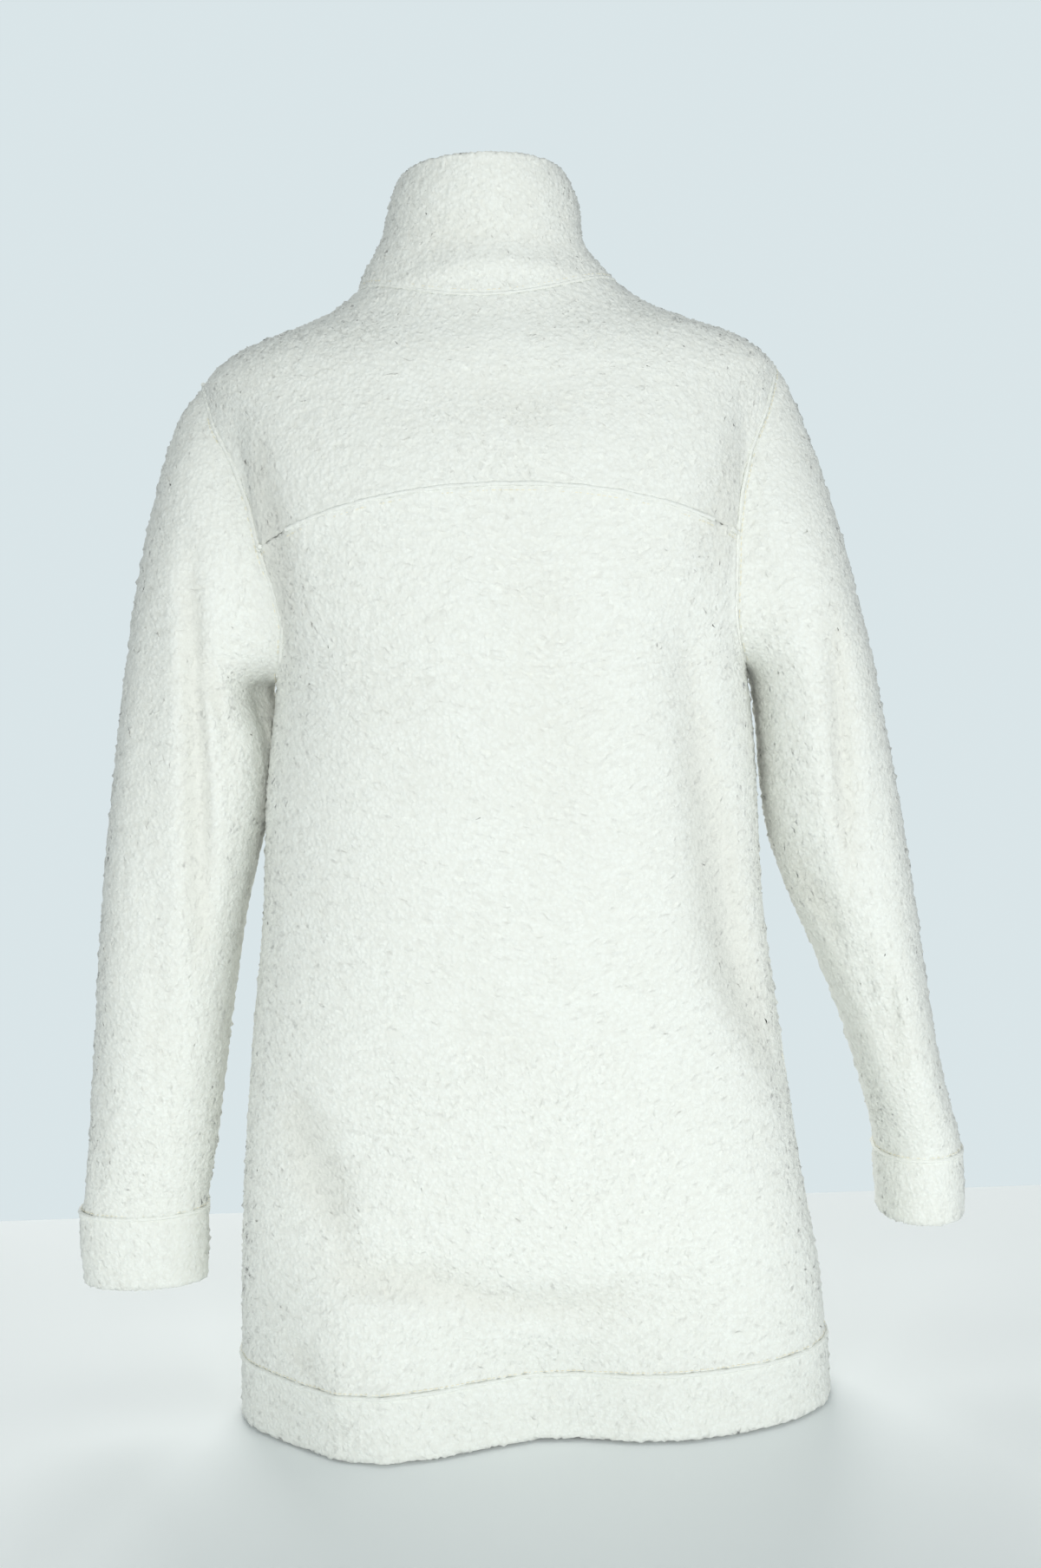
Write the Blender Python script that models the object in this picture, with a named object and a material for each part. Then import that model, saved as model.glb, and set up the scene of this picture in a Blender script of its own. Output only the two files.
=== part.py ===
"""Long fleece jacket with a stand collar, a curved back yoke, set-in sleeves and a front zip.

The jacket is filled out as if worn, and hollow. Metres, +Z up, the front faces -Y and the wearer's
left is +X. The origin is where the body inside carries it: the middle of the neck, level with the
back neck seam. Each cloth piece is a wall between an outer and an inner net of points. The nets lie
on one body surface and two sleeve surfaces, which are read smoothly from the short tables below.
"""

import math

import bmesh
import bpy
import numpy as np
from mathutils import Matrix, Vector

# ---------------------------------------------------------------- cloth and seams
CLOTH = 0.004              # fleece with its pile
BAND_PROUD = 0.0012        # how far the doubled hem and cuffs stand out
SEAM_GAP = 0.0003          # between two pieces
STEP_DEG, STEP_LEVEL = 0.2, 0.0004    # steps used to find a surface's slope

# ---------------------------------------------------------------- body surface
# A ring of the body surface is named by its level: its height at the two sides. Its back and its
# front run higher or lower than that by back_rise and front_rise.
BODY_COLUMNS = ("level", "half_width", "back", "front", "centre_x", "centre_y", "power",
                "back_rise", "front_rise")
BODY_ROWS = (
    (-0.7700, 0.2125, 0.0880, 0.1260, -0.003, -0.020, 2.35, 0.000, 0.000),
    (-0.7000, 0.2090, 0.0870, 0.1280, -0.003, -0.016, 2.35, 0.000, 0.000),
    (-0.6500, 0.2040, 0.0875, 0.1290, -0.001, -0.013, 2.35, 0.000, 0.000),
    (-0.6000, 0.1975, 0.0880, 0.1300, 0.001, -0.010, 2.35, 0.000, 0.000),
    (-0.5000, 0.1855, 0.0900, 0.1320, 0.002, -0.005, 2.35, 0.000, 0.000),
    (-0.4000, 0.1725, 0.0920, 0.1320, 0.001, 0.000, 2.35, 0.000, 0.000),
    (-0.3000, 0.1675, 0.0980, 0.1360, -0.002, 0.000, 2.40, 0.000, 0.000),
    (-0.2450, 0.1600, 0.1020, 0.1380, -0.004, 0.000, 2.40, 0.000, 0.000),
    (-0.2000, 0.1690, 0.1050, 0.1360, -0.001, 0.000, 2.40, 0.000, -0.003),
    (-0.1500, 0.1820, 0.1060, 0.1320, 0.003, 0.000, 2.35, -0.002, -0.012),
    (-0.1000, 0.1900, 0.1020, 0.1240, 0.004, 0.000, 2.20, -0.007, -0.028),
    (-0.0640, 0.1945, 0.0940, 0.1140, 0.004, 0.000, 2.00, -0.012, -0.044),
    (-0.0430, 0.1940, 0.0880, 0.1050, 0.004, 0.000, 1.90, -0.014, -0.053),
    (-0.0320, 0.1830, 0.0850, 0.1010, 0.004, 0.000, 1.85, -0.012, -0.054),
    (-0.0240, 0.1680, 0.0820, 0.0970, 0.004, 0.000, 1.80, -0.010, -0.055),
    (-0.0180, 0.1500, 0.0790, 0.0930, 0.004, 0.000, 1.80, -0.009, -0.057),
    (-0.0120, 0.1300, 0.0760, 0.0890, 0.003, 0.000, 1.80, -0.009, -0.058),
    (-0.0040, 0.1100, 0.0720, 0.0840, 0.003, 0.000, 1.85, -0.010, -0.061),
    (0.0100, 0.0880, 0.0660, 0.0770, 0.003, 0.000, 2.00, -0.010, -0.065),
    (0.0220, 0.0820, 0.0630, 0.0740, 0.006, 0.000, 2.00, -0.008, -0.062),
    (0.0330, 0.0740, 0.0615, 0.0710, 0.007, 0.000, 2.00, -0.008, -0.055),
    (0.0450, 0.0680, 0.0610, 0.0695, 0.005, 0.000, 2.00, -0.006, -0.047),
    (0.0600, 0.0660, 0.0610, 0.0690, 0.004, 0.000, 2.00, -0.002, -0.038),
    (0.0720, 0.0630, 0.0600, 0.0675, 0.004, 0.000, 2.00, 0.004, -0.029),
    (0.0810, 0.0580, 0.0575, 0.0650, 0.004, 0.000, 2.00, 0.010, -0.024),
)
HEM, HEM_SEAM, UNDERARM, SHOULDER_TIP, NECK_SEAM, COLLAR_TOP = (
    -0.770, -0.724, -0.245, -0.043, 0.010, 0.081)

# Soft folds of the body: each runs from one place to another, as an angle from the middle of the
# back (towards the wearer's left) and a level. Depth is negative for a trough.
FOLD_COLUMNS = ("angle_a", "level_a", "angle_b", "level_b", "width", "depth")
BODY_FOLDS = (
    (27.0, -0.830, 33.0, -0.700, 0.042, 0.019),
    (-3.0, -0.830, -3.0, -0.730, 0.042, -0.019),
    (25.0, -0.675, -30.0, -0.690, 0.030, -0.007),
    (-43.0, -0.230, -56.0, -0.440, 0.022, -0.008),
    (-56.0, -0.440, -72.0, -0.520, 0.022, -0.006),
    (60.0, -0.090, 62.0, -0.200, 0.016, -0.008),
    (-60.0, -0.080, -62.0, -0.160, 0.018, -0.005),
    (55.0, -0.560, 46.0, -0.620, 0.024, -0.005),
    (-96.0, 0.024, -84.0, 0.038, 0.016, -0.007),
    (150.0, -0.330, 128.0, -0.560, 0.026, -0.007),
    (-146.0, -0.360, -124.0, -0.600, 0.026, -0.006),
    (140.0, -0.830, 138.0, -0.700, 0.045, 0.009),
    (-140.0, -0.830, -142.0, -0.720, 0.045, 0.010),
)
FOLD_RADIUS = 0.17         # turns a fold's angles into lengths along the cloth

# ---------------------------------------------------------------- armholes and seams
ARMHOLE_STEPS = 11         # from the shoulder tip to the underarm, on each side
BACK_SCOOP_DEG, FRONT_SCOOP_DEG = 31.5, 36.0    # how far an armhole is cut into back and front
SCOOP_DEEPEST = 0.6        # share of the armhole's height, from the top, where it is widest
SCOOP_FULLNESS = 0.66      # below 1 the armhole's upper edge bows outwards early
SCOOP_CORNER = 4           # higher is a squarer turn into the underarm
SCOOP_SPREAD = 1.5         # how quickly an armhole's shape fades into the panel beside it
YOKE_STEP = 6              # the yoke seam meets the armhole at this step
YOKE_TOP = -0.118          # level of the yoke seam in the middle of the back
NECK_TO_TIP_LEVELS = (0.0100, -0.0040, -0.0120, -0.0180, -0.0240, -0.0320, -0.0430)
SKIRT_STEPS = 12           # from underarm to hem seam
BAND_STEPS = 2
COLLAR_STEPS = 7
BACK_STEPS = 20            # across the back
FRONT_STEPS = 8            # from side to zip tape, on each front

# ---------------------------------------------------------------- sleeves
# A ring of a sleeve runs from an outer to an inner point, seen from the front.
SLEEVE_COLUMNS = ("outer_x", "outer_z", "inner_x", "inner_z", "centre_y", "half_depth")
LEFT_SLEEVE_ROWS = (
    (0.1980, -0.0430, 0.1560, -0.2450, -0.010, 0.0700),
    (0.2110, -0.0530, 0.1645, -0.2455, -0.010, 0.0720),
    (0.2260, -0.0850, 0.1725, -0.2470, -0.010, 0.0735),
    (0.2405, -0.1320, 0.1760, -0.2530, -0.010, 0.0740),
    (0.2520, -0.1810, 0.1725, -0.2680, -0.010, 0.0730),
    (0.2625, -0.2350, 0.1675, -0.2870, -0.010, 0.0700),
    (0.2720, -0.2880, 0.1685, -0.3150, -0.011, 0.0670),
    (0.2810, -0.3420, 0.1745, -0.3550, -0.013, 0.0640),
    (0.2900, -0.4000, 0.1880, -0.4040, -0.016, 0.0600),
    (0.2975, -0.4550, 0.1995, -0.4580, -0.020, 0.0550),
    (0.3050, -0.5100, 0.2090, -0.5120, -0.026, 0.0480),
    (0.3125, -0.5600, 0.2175, -0.5610, -0.032, 0.0400),
    (0.3190, -0.6000, 0.2265, -0.6005, -0.037, 0.0330),
    (0.3235, -0.6260, 0.2325, -0.6260, -0.040, 0.0290),
)
LEFT_CUFF_ROWS = (
    (0.3265, -0.6263, 0.2310, -0.6263, -0.040, 0.0290),
    (0.3285, -0.6540, 0.2320, -0.6540, -0.042, 0.0280),
    (0.3265, -0.6810, 0.2355, -0.6810, -0.043, 0.0260),
)
RIGHT_SLEEVE_ROWS = (
    (-0.1900, -0.0430, -0.1640, -0.2450, -0.010, 0.0700),
    (-0.1985, -0.0530, -0.1668, -0.2480, -0.010, 0.0720),
    (-0.2105, -0.0850, -0.1690, -0.2515, -0.010, 0.0735),
    (-0.2260, -0.1320, -0.1706, -0.2580, -0.010, 0.0740),
    (-0.2390, -0.1810, -0.1722, -0.2700, -0.010, 0.0730),
    (-0.2515, -0.2350, -0.1730, -0.2880, -0.011, 0.0710),
    (-0.2620, -0.2880, -0.1745, -0.3160, -0.013, 0.0690),
    (-0.2720, -0.3420, -0.1770, -0.3540, -0.018, 0.0670),
    (-0.2820, -0.4000, -0.1915, -0.4020, -0.026, 0.0640),
    (-0.2910, -0.4550, -0.2165, -0.4560, -0.036, 0.0600),
    (-0.3005, -0.5100, -0.2380, -0.5110, -0.048, 0.0550),
    (-0.3130, -0.5600, -0.2530, -0.5605, -0.062, 0.0490),
    (-0.3250, -0.5950, -0.2625, -0.5950, -0.074, 0.0440),
    (-0.3285, -0.6120, -0.2655, -0.6120, -0.079, 0.0420),
)
RIGHT_CUFF_ROWS = (
    (-0.3295, -0.6123, -0.2640, -0.6123, -0.079, 0.0425),
    (-0.3320, -0.6380, -0.2650, -0.6380, -0.082, 0.0425),
    (-0.3315, -0.6630, -0.2680, -0.6630, -0.084, 0.0410),
)
SLEEVE_POWER = 2.1
ARMHOLE_FADE = 4.0         # rings over which a sleeve's shape leaves that of its armhole
SLEEVE_FOLD_COLUMNS = ("turn_a", "ring_a", "turn_b", "ring_b", "width", "depth")
LEFT_SLEEVE_FOLDS = (
    (62.0, 3.6, 78.0, 8.4, 0.016, -0.007),
    (128.0, 4.6, 120.0, 6.2, 0.012, -0.004),
    (255.0, 4.0, 275.0, 8.5, 0.018, -0.006),
)
RIGHT_SLEEVE_FOLDS = (
    (78.0, 4.2, 72.0, 7.6, 0.016, -0.006),
    (128.0, 7.6, 96.0, 10.6, 0.012, -0.006),
    (268.0, 4.5, 285.0, 8.8, 0.018, -0.006),
)
RING_PITCH, SLEEVE_RADIUS = 0.05, 0.055    # turn rings and turns into lengths along the cloth

# ---------------------------------------------------------------- zip
ZIP_HALF_GAP = 0.006       # from the middle to a front's edge
TAPE_HALF = 0.016          # from the middle to a tape's outer edge
TAPE_INNER = 0.0005        # from the middle to a tape's inner edge
TAPE_THICK = 0.0012
TAPE_END = 0.002           # how far the tapes stop short of collar top and hem
SLIDER_LEVEL = 0.0725
SLIDER_LONG, SLIDER_TOP_WIDE, SLIDER_LOW_WIDE, SLIDER_THICK = 0.0125, 0.0085, 0.0066, 0.0050
BAIL_WIDE, BAIL_LONG, BAIL_HIGH, BAIL_WIRE = 0.0024, 0.0092, 0.0034, 0.0011
BAIL_FLATNESS = 1.6        # above 1 the bail's arch has a flat top
PULL_LONG, PULL_WIDE, PULL_THICK = 0.030, 0.0070, 0.0014
PULL_WINDOW_WIDE, PULL_WINDOW_LONG, PULL_BAR = 0.0032, 0.0062, 0.0014
SLIDER_ROUND = 0.0010
ARC_STEPS = 8

# ---------------------------------------------------------------- colours and shading
SHARP_DEG = 50.0
FLEECE = (0.870, 0.855, 0.800, 1.0)
TAPE_COLOUR = (0.820, 0.790, 0.710, 1.0)
METAL_COLOUR = (0.640, 0.620, 0.580, 1.0)


def smooth_curve(knots, values, at):
    """Values at a place between a table's knots, on a smooth curve that never overshoots them."""
    knots, values = np.asarray(knots, float), np.asarray(values, float)
    at = np.clip(np.asarray(at, float), knots[0], knots[-1])
    step = np.diff(knots)
    slope = np.diff(values) / step
    tangent = np.zeros_like(values)
    tangent[0], tangent[-1] = slope[0], slope[-1]
    same_way = slope[:-1] * slope[1:] > 0
    before, after = np.where(same_way, slope[:-1], 1.0), np.where(same_way, slope[1:], 1.0)
    near, far = 2 * step[1:] + step[:-1], step[1:] + 2 * step[:-1]
    tangent[1:-1] = np.where(same_way, (near + far) / (near / before + far / after), 0.0)
    cell = np.clip(np.searchsorted(knots, at, side="right") - 1, 0, len(step) - 1)
    share = (at - knots[cell]) / step[cell]
    rise = values[cell + 1] - values[cell]
    start, end = tangent[cell] * step[cell], tangent[cell + 1] * step[cell]
    bend = (3 * rise - 2 * start - end) * share**2 + (start + end - 2 * rise) * share**3
    return values[cell] + start * share + bend


def read_rows(columns, rows, knots, at):
    """Every column of a table, read smoothly at the places asked for."""
    table = np.array(rows)
    return {name: smooth_curve(knots, table[:, index], at) for index, name in enumerate(columns)}


def fold_depth(columns, folds, across, along):
    """Sum of the folds at points given as lengths across and along the cloth."""
    total = np.zeros(np.broadcast(across, along).shape)
    for row in folds:
        fold = dict(zip(columns, row))
        a = np.array([fold["across_a"], fold["along_a"]])
        b = np.array([fold["across_b"], fold["along_b"]])
        run = b - a
        share = ((across - a[0]) * run[0] + (along - a[1]) * run[1]) / (run @ run)
        share = np.clip(share, 0.0, 1.0)
        gap = np.hypot(across - a[0] - share * run[0], along - a[1] - share * run[1])
        total = total + fold["depth"] * np.exp(-((gap / fold["width"]) ** 2))
    return total


# ---------------------------------------------------------------- surfaces
def body_form(angle, level):
    """Points of the body's outer surface without its folds. Angles are from the middle of the back."""
    rows = np.array(BODY_ROWS)
    ring = read_rows(BODY_COLUMNS, BODY_ROWS, rows[:, 0], level)
    turn = np.radians(angle)
    sine, cosine = np.sin(turn), np.cos(turn)
    power = ring["power"]
    reach = (np.abs(sine) ** power + np.abs(cosine) ** power) ** (-1 / power)
    depth = np.where(cosine > 0, ring["back"], ring["front"])
    centre = ring["centre_x"] * np.minimum(1.0, 1.0 + cosine)    # the zip runs down the very middle
    x = centre + ring["half_width"] * sine * reach
    y = ring["centre_y"] + depth * cosine * reach
    z = (level + ring["back_rise"] * (cosine**2 + cosine) / 2
         + ring["front_rise"] * (cosine**2 - cosine) / 2)
    return np.stack([x, y, z], axis=-1)


def unit(vectors):
    return vectors / np.linalg.norm(vectors, axis=-1, keepdims=True)


def body_normal(angle, level, form):
    along_ring = form(angle + STEP_DEG, level) - form(angle - STEP_DEG, level)
    up_body = form(angle, level + STEP_LEVEL) - form(angle, level - STEP_LEVEL)
    return unit(np.cross(up_body, along_ring))


def body_point(angle, level):
    """Points of the body's outer surface, folds included."""
    across, along = np.radians(angle) * FOLD_RADIUS, level
    folds = [(math.radians(a) * FOLD_RADIUS, la, math.radians(b) * FOLD_RADIUS, lb, w, d)
             for a, la, b, lb, w, d in BODY_FOLDS]
    names = ("across_a", "along_a", "across_b", "along_b", "width", "depth")
    push = fold_depth(names, folds, across, along)
    return body_form(angle, level) + push[..., None] * body_normal(angle, level, body_form)


def body_wall(angle, level, proud=0.0, deep=CLOTH):
    """Outer and inner net of a piece of the body at these angles and levels."""
    outer = body_point(angle, level)
    outward = body_normal(angle, level, body_point)
    return outer + proud * outward, outer - deep * outward


# ---------------------------------------------------------------- where the pieces meet
def armhole_share(step):
    """Share of the armhole's height, from the shoulder tip, reached at a step round it."""
    return (1 - math.cos(math.pi * step / ARMHOLE_STEPS)) / 2


def armhole_level(step):
    return SHOULDER_TIP + armhole_share(step) * (UNDERARM - SHOULDER_TIP)


def scoop(step, widest):
    """How far an armhole reaches into back or front, in degrees from the side, at a step."""
    share = armhole_share(step)
    if share < SCOOP_DEEPEST:
        return widest * math.sin(math.pi / 2 * (share / SCOOP_DEEPEST) ** SCOOP_FULLNESS)
    below = (share - SCOOP_DEEPEST) / (1 - SCOOP_DEEPEST)
    return widest * math.sqrt(max(0.0, 1 - below**SCOOP_CORNER))


def row_plan():
    """For each row of the body's net from the neck seam down to the hem seam: (level at the sides,
    armhole step or None)."""
    plan = [(level, None) for level in NECK_TO_TIP_LEVELS[:-1]]
    plan += [(armhole_level(step), step) for step in range(ARMHOLE_STEPS + 1)]
    drop = (HEM_SEAM - UNDERARM) / SKIRT_STEPS
    plan += [(UNDERARM + drop * step, None) for step in range(1, SKIRT_STEPS + 1)]
    return plan


def back_angles(shares, step):
    """Angles across the back, from the right edge (share -1) to the left (1), level with a step of
    the armhole, or clear of it where step is None."""
    cut = scoop(step, BACK_SCOOP_DEG) if step is not None else 0
    return shares * (90 - cut * np.abs(shares) ** SCOOP_SPREAD)


def yoke_seam(shares):
    """Levels of the yoke seam: one even arch over the width of the back."""
    side = armhole_level(YOKE_STEP)
    across = body_form(back_angles(shares, YOKE_STEP), side)[:, 0] - body_form(0.0, side)[0]
    return YOKE_TOP + (side - YOKE_TOP) * (across / across[-1]) ** 2


def back_net():
    """Angles and levels of the back's net, with the yoke seam's arch as one of its rows."""
    shares = np.linspace(-1, 1, BACK_STEPS + 1)
    seam_side = armhole_level(YOKE_STEP)
    angles, levels = [], []
    for level, step in row_plan():
        row = np.full(shares.shape, level)
        if step is not None and 0 < step < ARMHOLE_STEPS:
            edge = SHOULDER_TIP if step <= YOKE_STEP else UNDERARM
            row = edge + (level - edge) / (seam_side - edge) * (yoke_seam(shares) - edge)
        angles.append(back_angles(shares, step))
        levels.append(row)
    return np.array(angles), np.array(levels)


def front_net(side):
    """Angles and levels of one front's net, from the side or armhole to the zip."""
    angles, levels = [], []
    for level, step in row_plan():
        start = 90 + (scoop(step, FRONT_SCOOP_DEG) if step is not None else 0)
        angles.append([side * angle for angle in front_angles(start, level)])
        levels.append([level] * (FRONT_STEPS + 2))
    return np.array(angles), np.array(levels)


def front_angles(start, level):
    """Angles from a start at the side to the zip tape's outer edge, then to the front's own edge."""
    tape, edge = middle_angle(TAPE_HALF, level), middle_angle(ZIP_HALF_GAP, level)
    return list(np.linspace(start, tape, FRONT_STEPS + 1)) + [edge]


def middle_angle(distance, level):
    """Angle at this distance from the middle of the front."""
    rows = np.array(BODY_ROWS)
    width = smooth_curve(rows[:, 0], rows[:, 1], level)
    return 180 - math.degrees(distance / float(width))


def round_angles(level):
    """Angles all round one level, from the right front's edge past the back to the left's."""
    left = front_angles(90.0, level)
    back = list(np.linspace(-90, 90, BACK_STEPS + 1))
    return [-angle for angle in reversed(left)] + back[1:-1] + left


def round_net(levels):
    return np.array([round_angles(level) for level in levels]), np.array(
        [[level] * (BACK_STEPS + 1 + 2 * (FRONT_STEPS + 1)) for level in levels])


# ---------------------------------------------------------------- walls
def drawn_in(net, edges):
    """A net with the named edges moved in by half a seam gap."""
    net = net.copy()
    for edge in edges:
        rows = {"top": (0, 1), "bottom": (-1, -2)}
        columns = {"start": (0, 1), "end": (-1, -2)}
        if edge in rows:
            rim, next_in = rows[edge]
            net[rim] += unit(net[next_in] - net[rim]) * SEAM_GAP / 2
        else:
            rim, next_in = columns[edge]
            net[:, rim] += unit(net[:, next_in] - net[:, rim]) * SEAM_GAP / 2
    return net


def wall(name, outer, inner, colour, tube=False):
    """A closed wall between two nets of the same size, as its own object."""
    rows, columns = outer.shape[:2]
    mesh = bmesh.new()
    nets = [[[mesh.verts.new(point) for point in row] for row in net] for net in (outer, inner)]
    turns = columns if tube else columns - 1
    for net in nets:
        for row in range(rows - 1):
            for column in range(turns):
                after = (column + 1) % columns
                patch = (net[row][column], net[row][after], net[row + 1][after], net[row + 1][column])
                turn = short_diagonal(outer, row, column, after)
                patch = patch[turn:] + patch[:turn]
                mesh.faces.new(patch[:3])
                mesh.faces.new((patch[2], patch[3], patch[0]))
    skin, back = nets
    for column in range(turns):
        after = (column + 1) % columns
        for row in (0, rows - 1):
            rim(mesh, (skin[row][column], back[row][column]), (skin[row][after], back[row][after]))
    if not tube:
        for row in range(rows - 1):
            for column in (0, columns - 1):
                rim(mesh, (skin[row][column], back[row][column]),
                    (skin[row + 1][column], back[row + 1][column]))
    return finished(name, mesh, colour, roughness=0.95)


def short_diagonal(net, row, column, after):
    """0 where a patch of the net is shorter from its first corner, 1 where it is from its second."""
    first = np.linalg.norm(net[row, column] - net[row + 1, after])
    second = np.linalg.norm(net[row, after] - net[row + 1, column])
    return int(second < first)


def rim(mesh, one_end, other_end):
    """Two triangles across a wall's edge. Both pieces at a seam are split the same way, from the
    outer point of the higher end, so that their edges match."""
    high, low = sorted((one_end, other_end), key=lambda end: end[0].co.z + end[0].co.x / 50)[::-1]
    mesh.faces.new((high[0], low[0], low[1]))
    mesh.faces.new((high[0], low[1], high[1]))


def finished(name, mesh, colour, roughness, metallic=0.0):
    """The bmesh as a named object with its own material and its faces pointing out."""
    bmesh.ops.recalc_face_normals(mesh, faces=mesh.faces)
    data = bpy.data.meshes.new(name)
    mesh.to_mesh(data)
    mesh.free()
    data.shade_smooth()
    data.set_sharp_from_angle(angle=math.radians(SHARP_DEG))
    piece = bpy.data.objects.new(name, data)
    bpy.context.scene.collection.objects.link(piece)
    material = bpy.data.materials.new(name)
    material.use_nodes = True
    shader = material.node_tree.nodes["Principled BSDF"]
    shader.inputs["Base Color"].default_value = colour
    shader.inputs["Roughness"].default_value = roughness
    shader.inputs["Metallic"].default_value = metallic
    data.materials.append(material)
    return piece


def panel(name, angles, levels, seams, proud=0.0):
    outer, inner = body_wall(angles, levels, proud)
    wall(name, drawn_in(outer, seams), drawn_in(inner, seams), FLEECE)


def build_back():
    angles, levels = back_net()
    seam_row = len(NECK_TO_TIP_LEVELS) - 1 + YOKE_STEP
    all_round = ("top", "bottom", "start", "end")
    panel("back_yoke", angles[:seam_row + 1], levels[:seam_row + 1], all_round)
    panel("back_panel", angles[seam_row:], levels[seam_row:], all_round)


def build_fronts():
    for name, side in (("front_left", 1), ("front_right", -1)):
        angles, levels = front_net(side)
        panel(name, angles, levels, ("top", "bottom", "start"))


def build_hem_and_collar():
    hem_levels = np.linspace(HEM_SEAM, HEM, BAND_STEPS + 1)
    panel("hem_band", *round_net(hem_levels), ("top",), proud=BAND_PROUD)
    collar_levels = np.linspace(COLLAR_TOP, NECK_SEAM, COLLAR_STEPS + 1)
    panel("collar", *round_net(collar_levels), ("bottom",))


# ---------------------------------------------------------------- sleeves
def armhole_loop(side):
    """Outer and inner points round one armhole: shoulder tip, down its back edge to the underarm,
    and up its front edge."""
    steps = list(range(ARMHOLE_STEPS + 1)) + list(range(ARMHOLE_STEPS - 1, 0, -1))
    angles, levels = [], []
    for place, step in enumerate(steps):
        back_edge = place <= ARMHOLE_STEPS
        cut = scoop(step, BACK_SCOOP_DEG if back_edge else FRONT_SCOOP_DEG)
        angles.append(side * (90 - cut if back_edge else 90 + cut))
        levels.append(armhole_level(step))
    outer, inner = body_wall(np.array([angles]), np.array([levels]))
    clear = SEAM_GAP * unit(outer[0].mean(axis=0) - outer[0])
    clear[:, 0] = side * SEAM_GAP
    return outer[0] + clear, inner[0] + clear


def oval_parts(rows):
    """Centre, outward half axis and depth of each ring of a sleeve table."""
    table = [dict(zip(SLEEVE_COLUMNS, row)) for row in rows]
    outer = np.array([[r["outer_x"], r["centre_y"], r["outer_z"]] for r in table])
    inner = np.array([[r["inner_x"], r["centre_y"], r["inner_z"]] for r in table])
    return (outer + inner) / 2, (outer - inner) / 2, np.array([r["half_depth"] for r in table])


def sleeve_turns(loop, rows):
    """Turn of each point of the armhole round the sleeve: 0 at the shoulder tip, 90 at the back."""
    centre, reach, depth = oval_parts(rows[:1])
    up = (loop - centre[0]) @ reach[0] / (reach[0] @ reach[0])
    back = (loop[:, 1] - centre[0][1]) / depth[0]
    turns = np.degrees(np.unwrap(np.arctan2(back, up)))
    turns[0] = 0.0
    return turns


def ovals(turns, rows):
    """The rings of a sleeve table at these turns."""
    centre, reach, depth = oval_parts(rows)
    turn = np.radians(turns)
    up, back = np.cos(turn), np.sin(turn)
    size = (np.abs(up) ** SLEEVE_POWER + np.abs(back) ** SLEEVE_POWER) ** (-1 / SLEEVE_POWER)
    ring = centre[:, None] + (up * size)[None, :, None] * reach[:, None]
    ring[:, :, 1] += (back * size)[None] * depth[:, None]
    return ring


def net_normals(net, inside_of):
    """Directions out of a tube's net, away from its ring centres, and level at its two ends."""
    along = np.gradient(net, axis=0)
    around = np.roll(net, -1, axis=1) - np.roll(net, 1, axis=1)
    normal = unit(np.cross(along, around))
    for end in (0, -1):
        normal[end, :, 2] = 0.0
    outward = np.sum(normal * (net - inside_of), axis=-1, keepdims=True)
    return unit(normal) * np.sign(np.sum(outward))


def sleeve_folds(net, turns, folds, normals):
    rings = np.arange(net.shape[0], dtype=float)[:, None] * RING_PITCH
    around = np.radians(np.asarray(turns))[None] * SLEEVE_RADIUS
    rows = [(math.radians(a) * SLEEVE_RADIUS, ra * RING_PITCH, math.radians(b) * SLEEVE_RADIUS,
             rb * RING_PITCH, width, depth) for a, ra, b, rb, width, depth in folds]
    names = ("across_a", "along_a", "across_b", "along_b", "width", "depth")
    return net + fold_depth(names, rows, around, rings)[..., None] * normals


def build_sleeve(name, side, rows, cuff_rows, folds):
    loop, loop_inner = armhole_loop(side)
    turns = sleeve_turns(loop, rows)
    net = ovals(turns, rows)
    fade = np.clip(1 - np.arange(len(rows)) / ARMHOLE_FADE, 0, 1)
    fade = fade**2 * (3 - 2 * fade)
    net = net + fade[:, None, None] * (loop - ovals(turns, rows[:1])[0])[None]
    centres = net.mean(axis=1, keepdims=True)
    net = sleeve_folds(net, turns, folds, net_normals(net, centres))
    net[0] = loop
    inner = net - CLOTH * net_normals(net, centres)
    inner[0] = loop_inner
    wall(f"sleeve_{name}", net, inner, FLEECE, tube=True)

    cuff = ovals(turns, cuff_rows)
    outward = net_normals(cuff, cuff.mean(axis=1, keepdims=True))
    wall(f"cuff_{name}", cuff, cuff - (CLOTH + BAND_PROUD) * outward, FLEECE, tube=True)


# ---------------------------------------------------------------- zip
def build_tapes():
    """The two zip tapes, on the inner side of the collar, fronts and hem band."""
    levels = list(np.linspace(COLLAR_TOP, NECK_SEAM, COLLAR_STEPS + 1))
    levels += [level for level, _ in row_plan()][1:]
    levels += list(np.linspace(HEM_SEAM, HEM, BAND_STEPS + 1))[1:]
    for name, side in (("zip_tape_left", 1), ("zip_tape_right", -1)):
        angles = [[side * middle_angle(distance, level)
                   for distance in (TAPE_HALF, ZIP_HALF_GAP, TAPE_INNER)] for level in levels]
        net_levels = np.array([[level] * 3 for level in levels])
        skin, back = (body_wall(np.array(angles), net_levels, deep=deep)[1]
                      for deep in (CLOTH + SEAM_GAP, CLOTH + SEAM_GAP + TAPE_THICK))
        for net in (skin, back):
            net[0] += unit(net[1] - net[0]) * TAPE_END
            net[-1] += unit(net[-2] - net[-1]) * TAPE_END
        wall(name, skin, back, TAPE_COLOUR)


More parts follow.
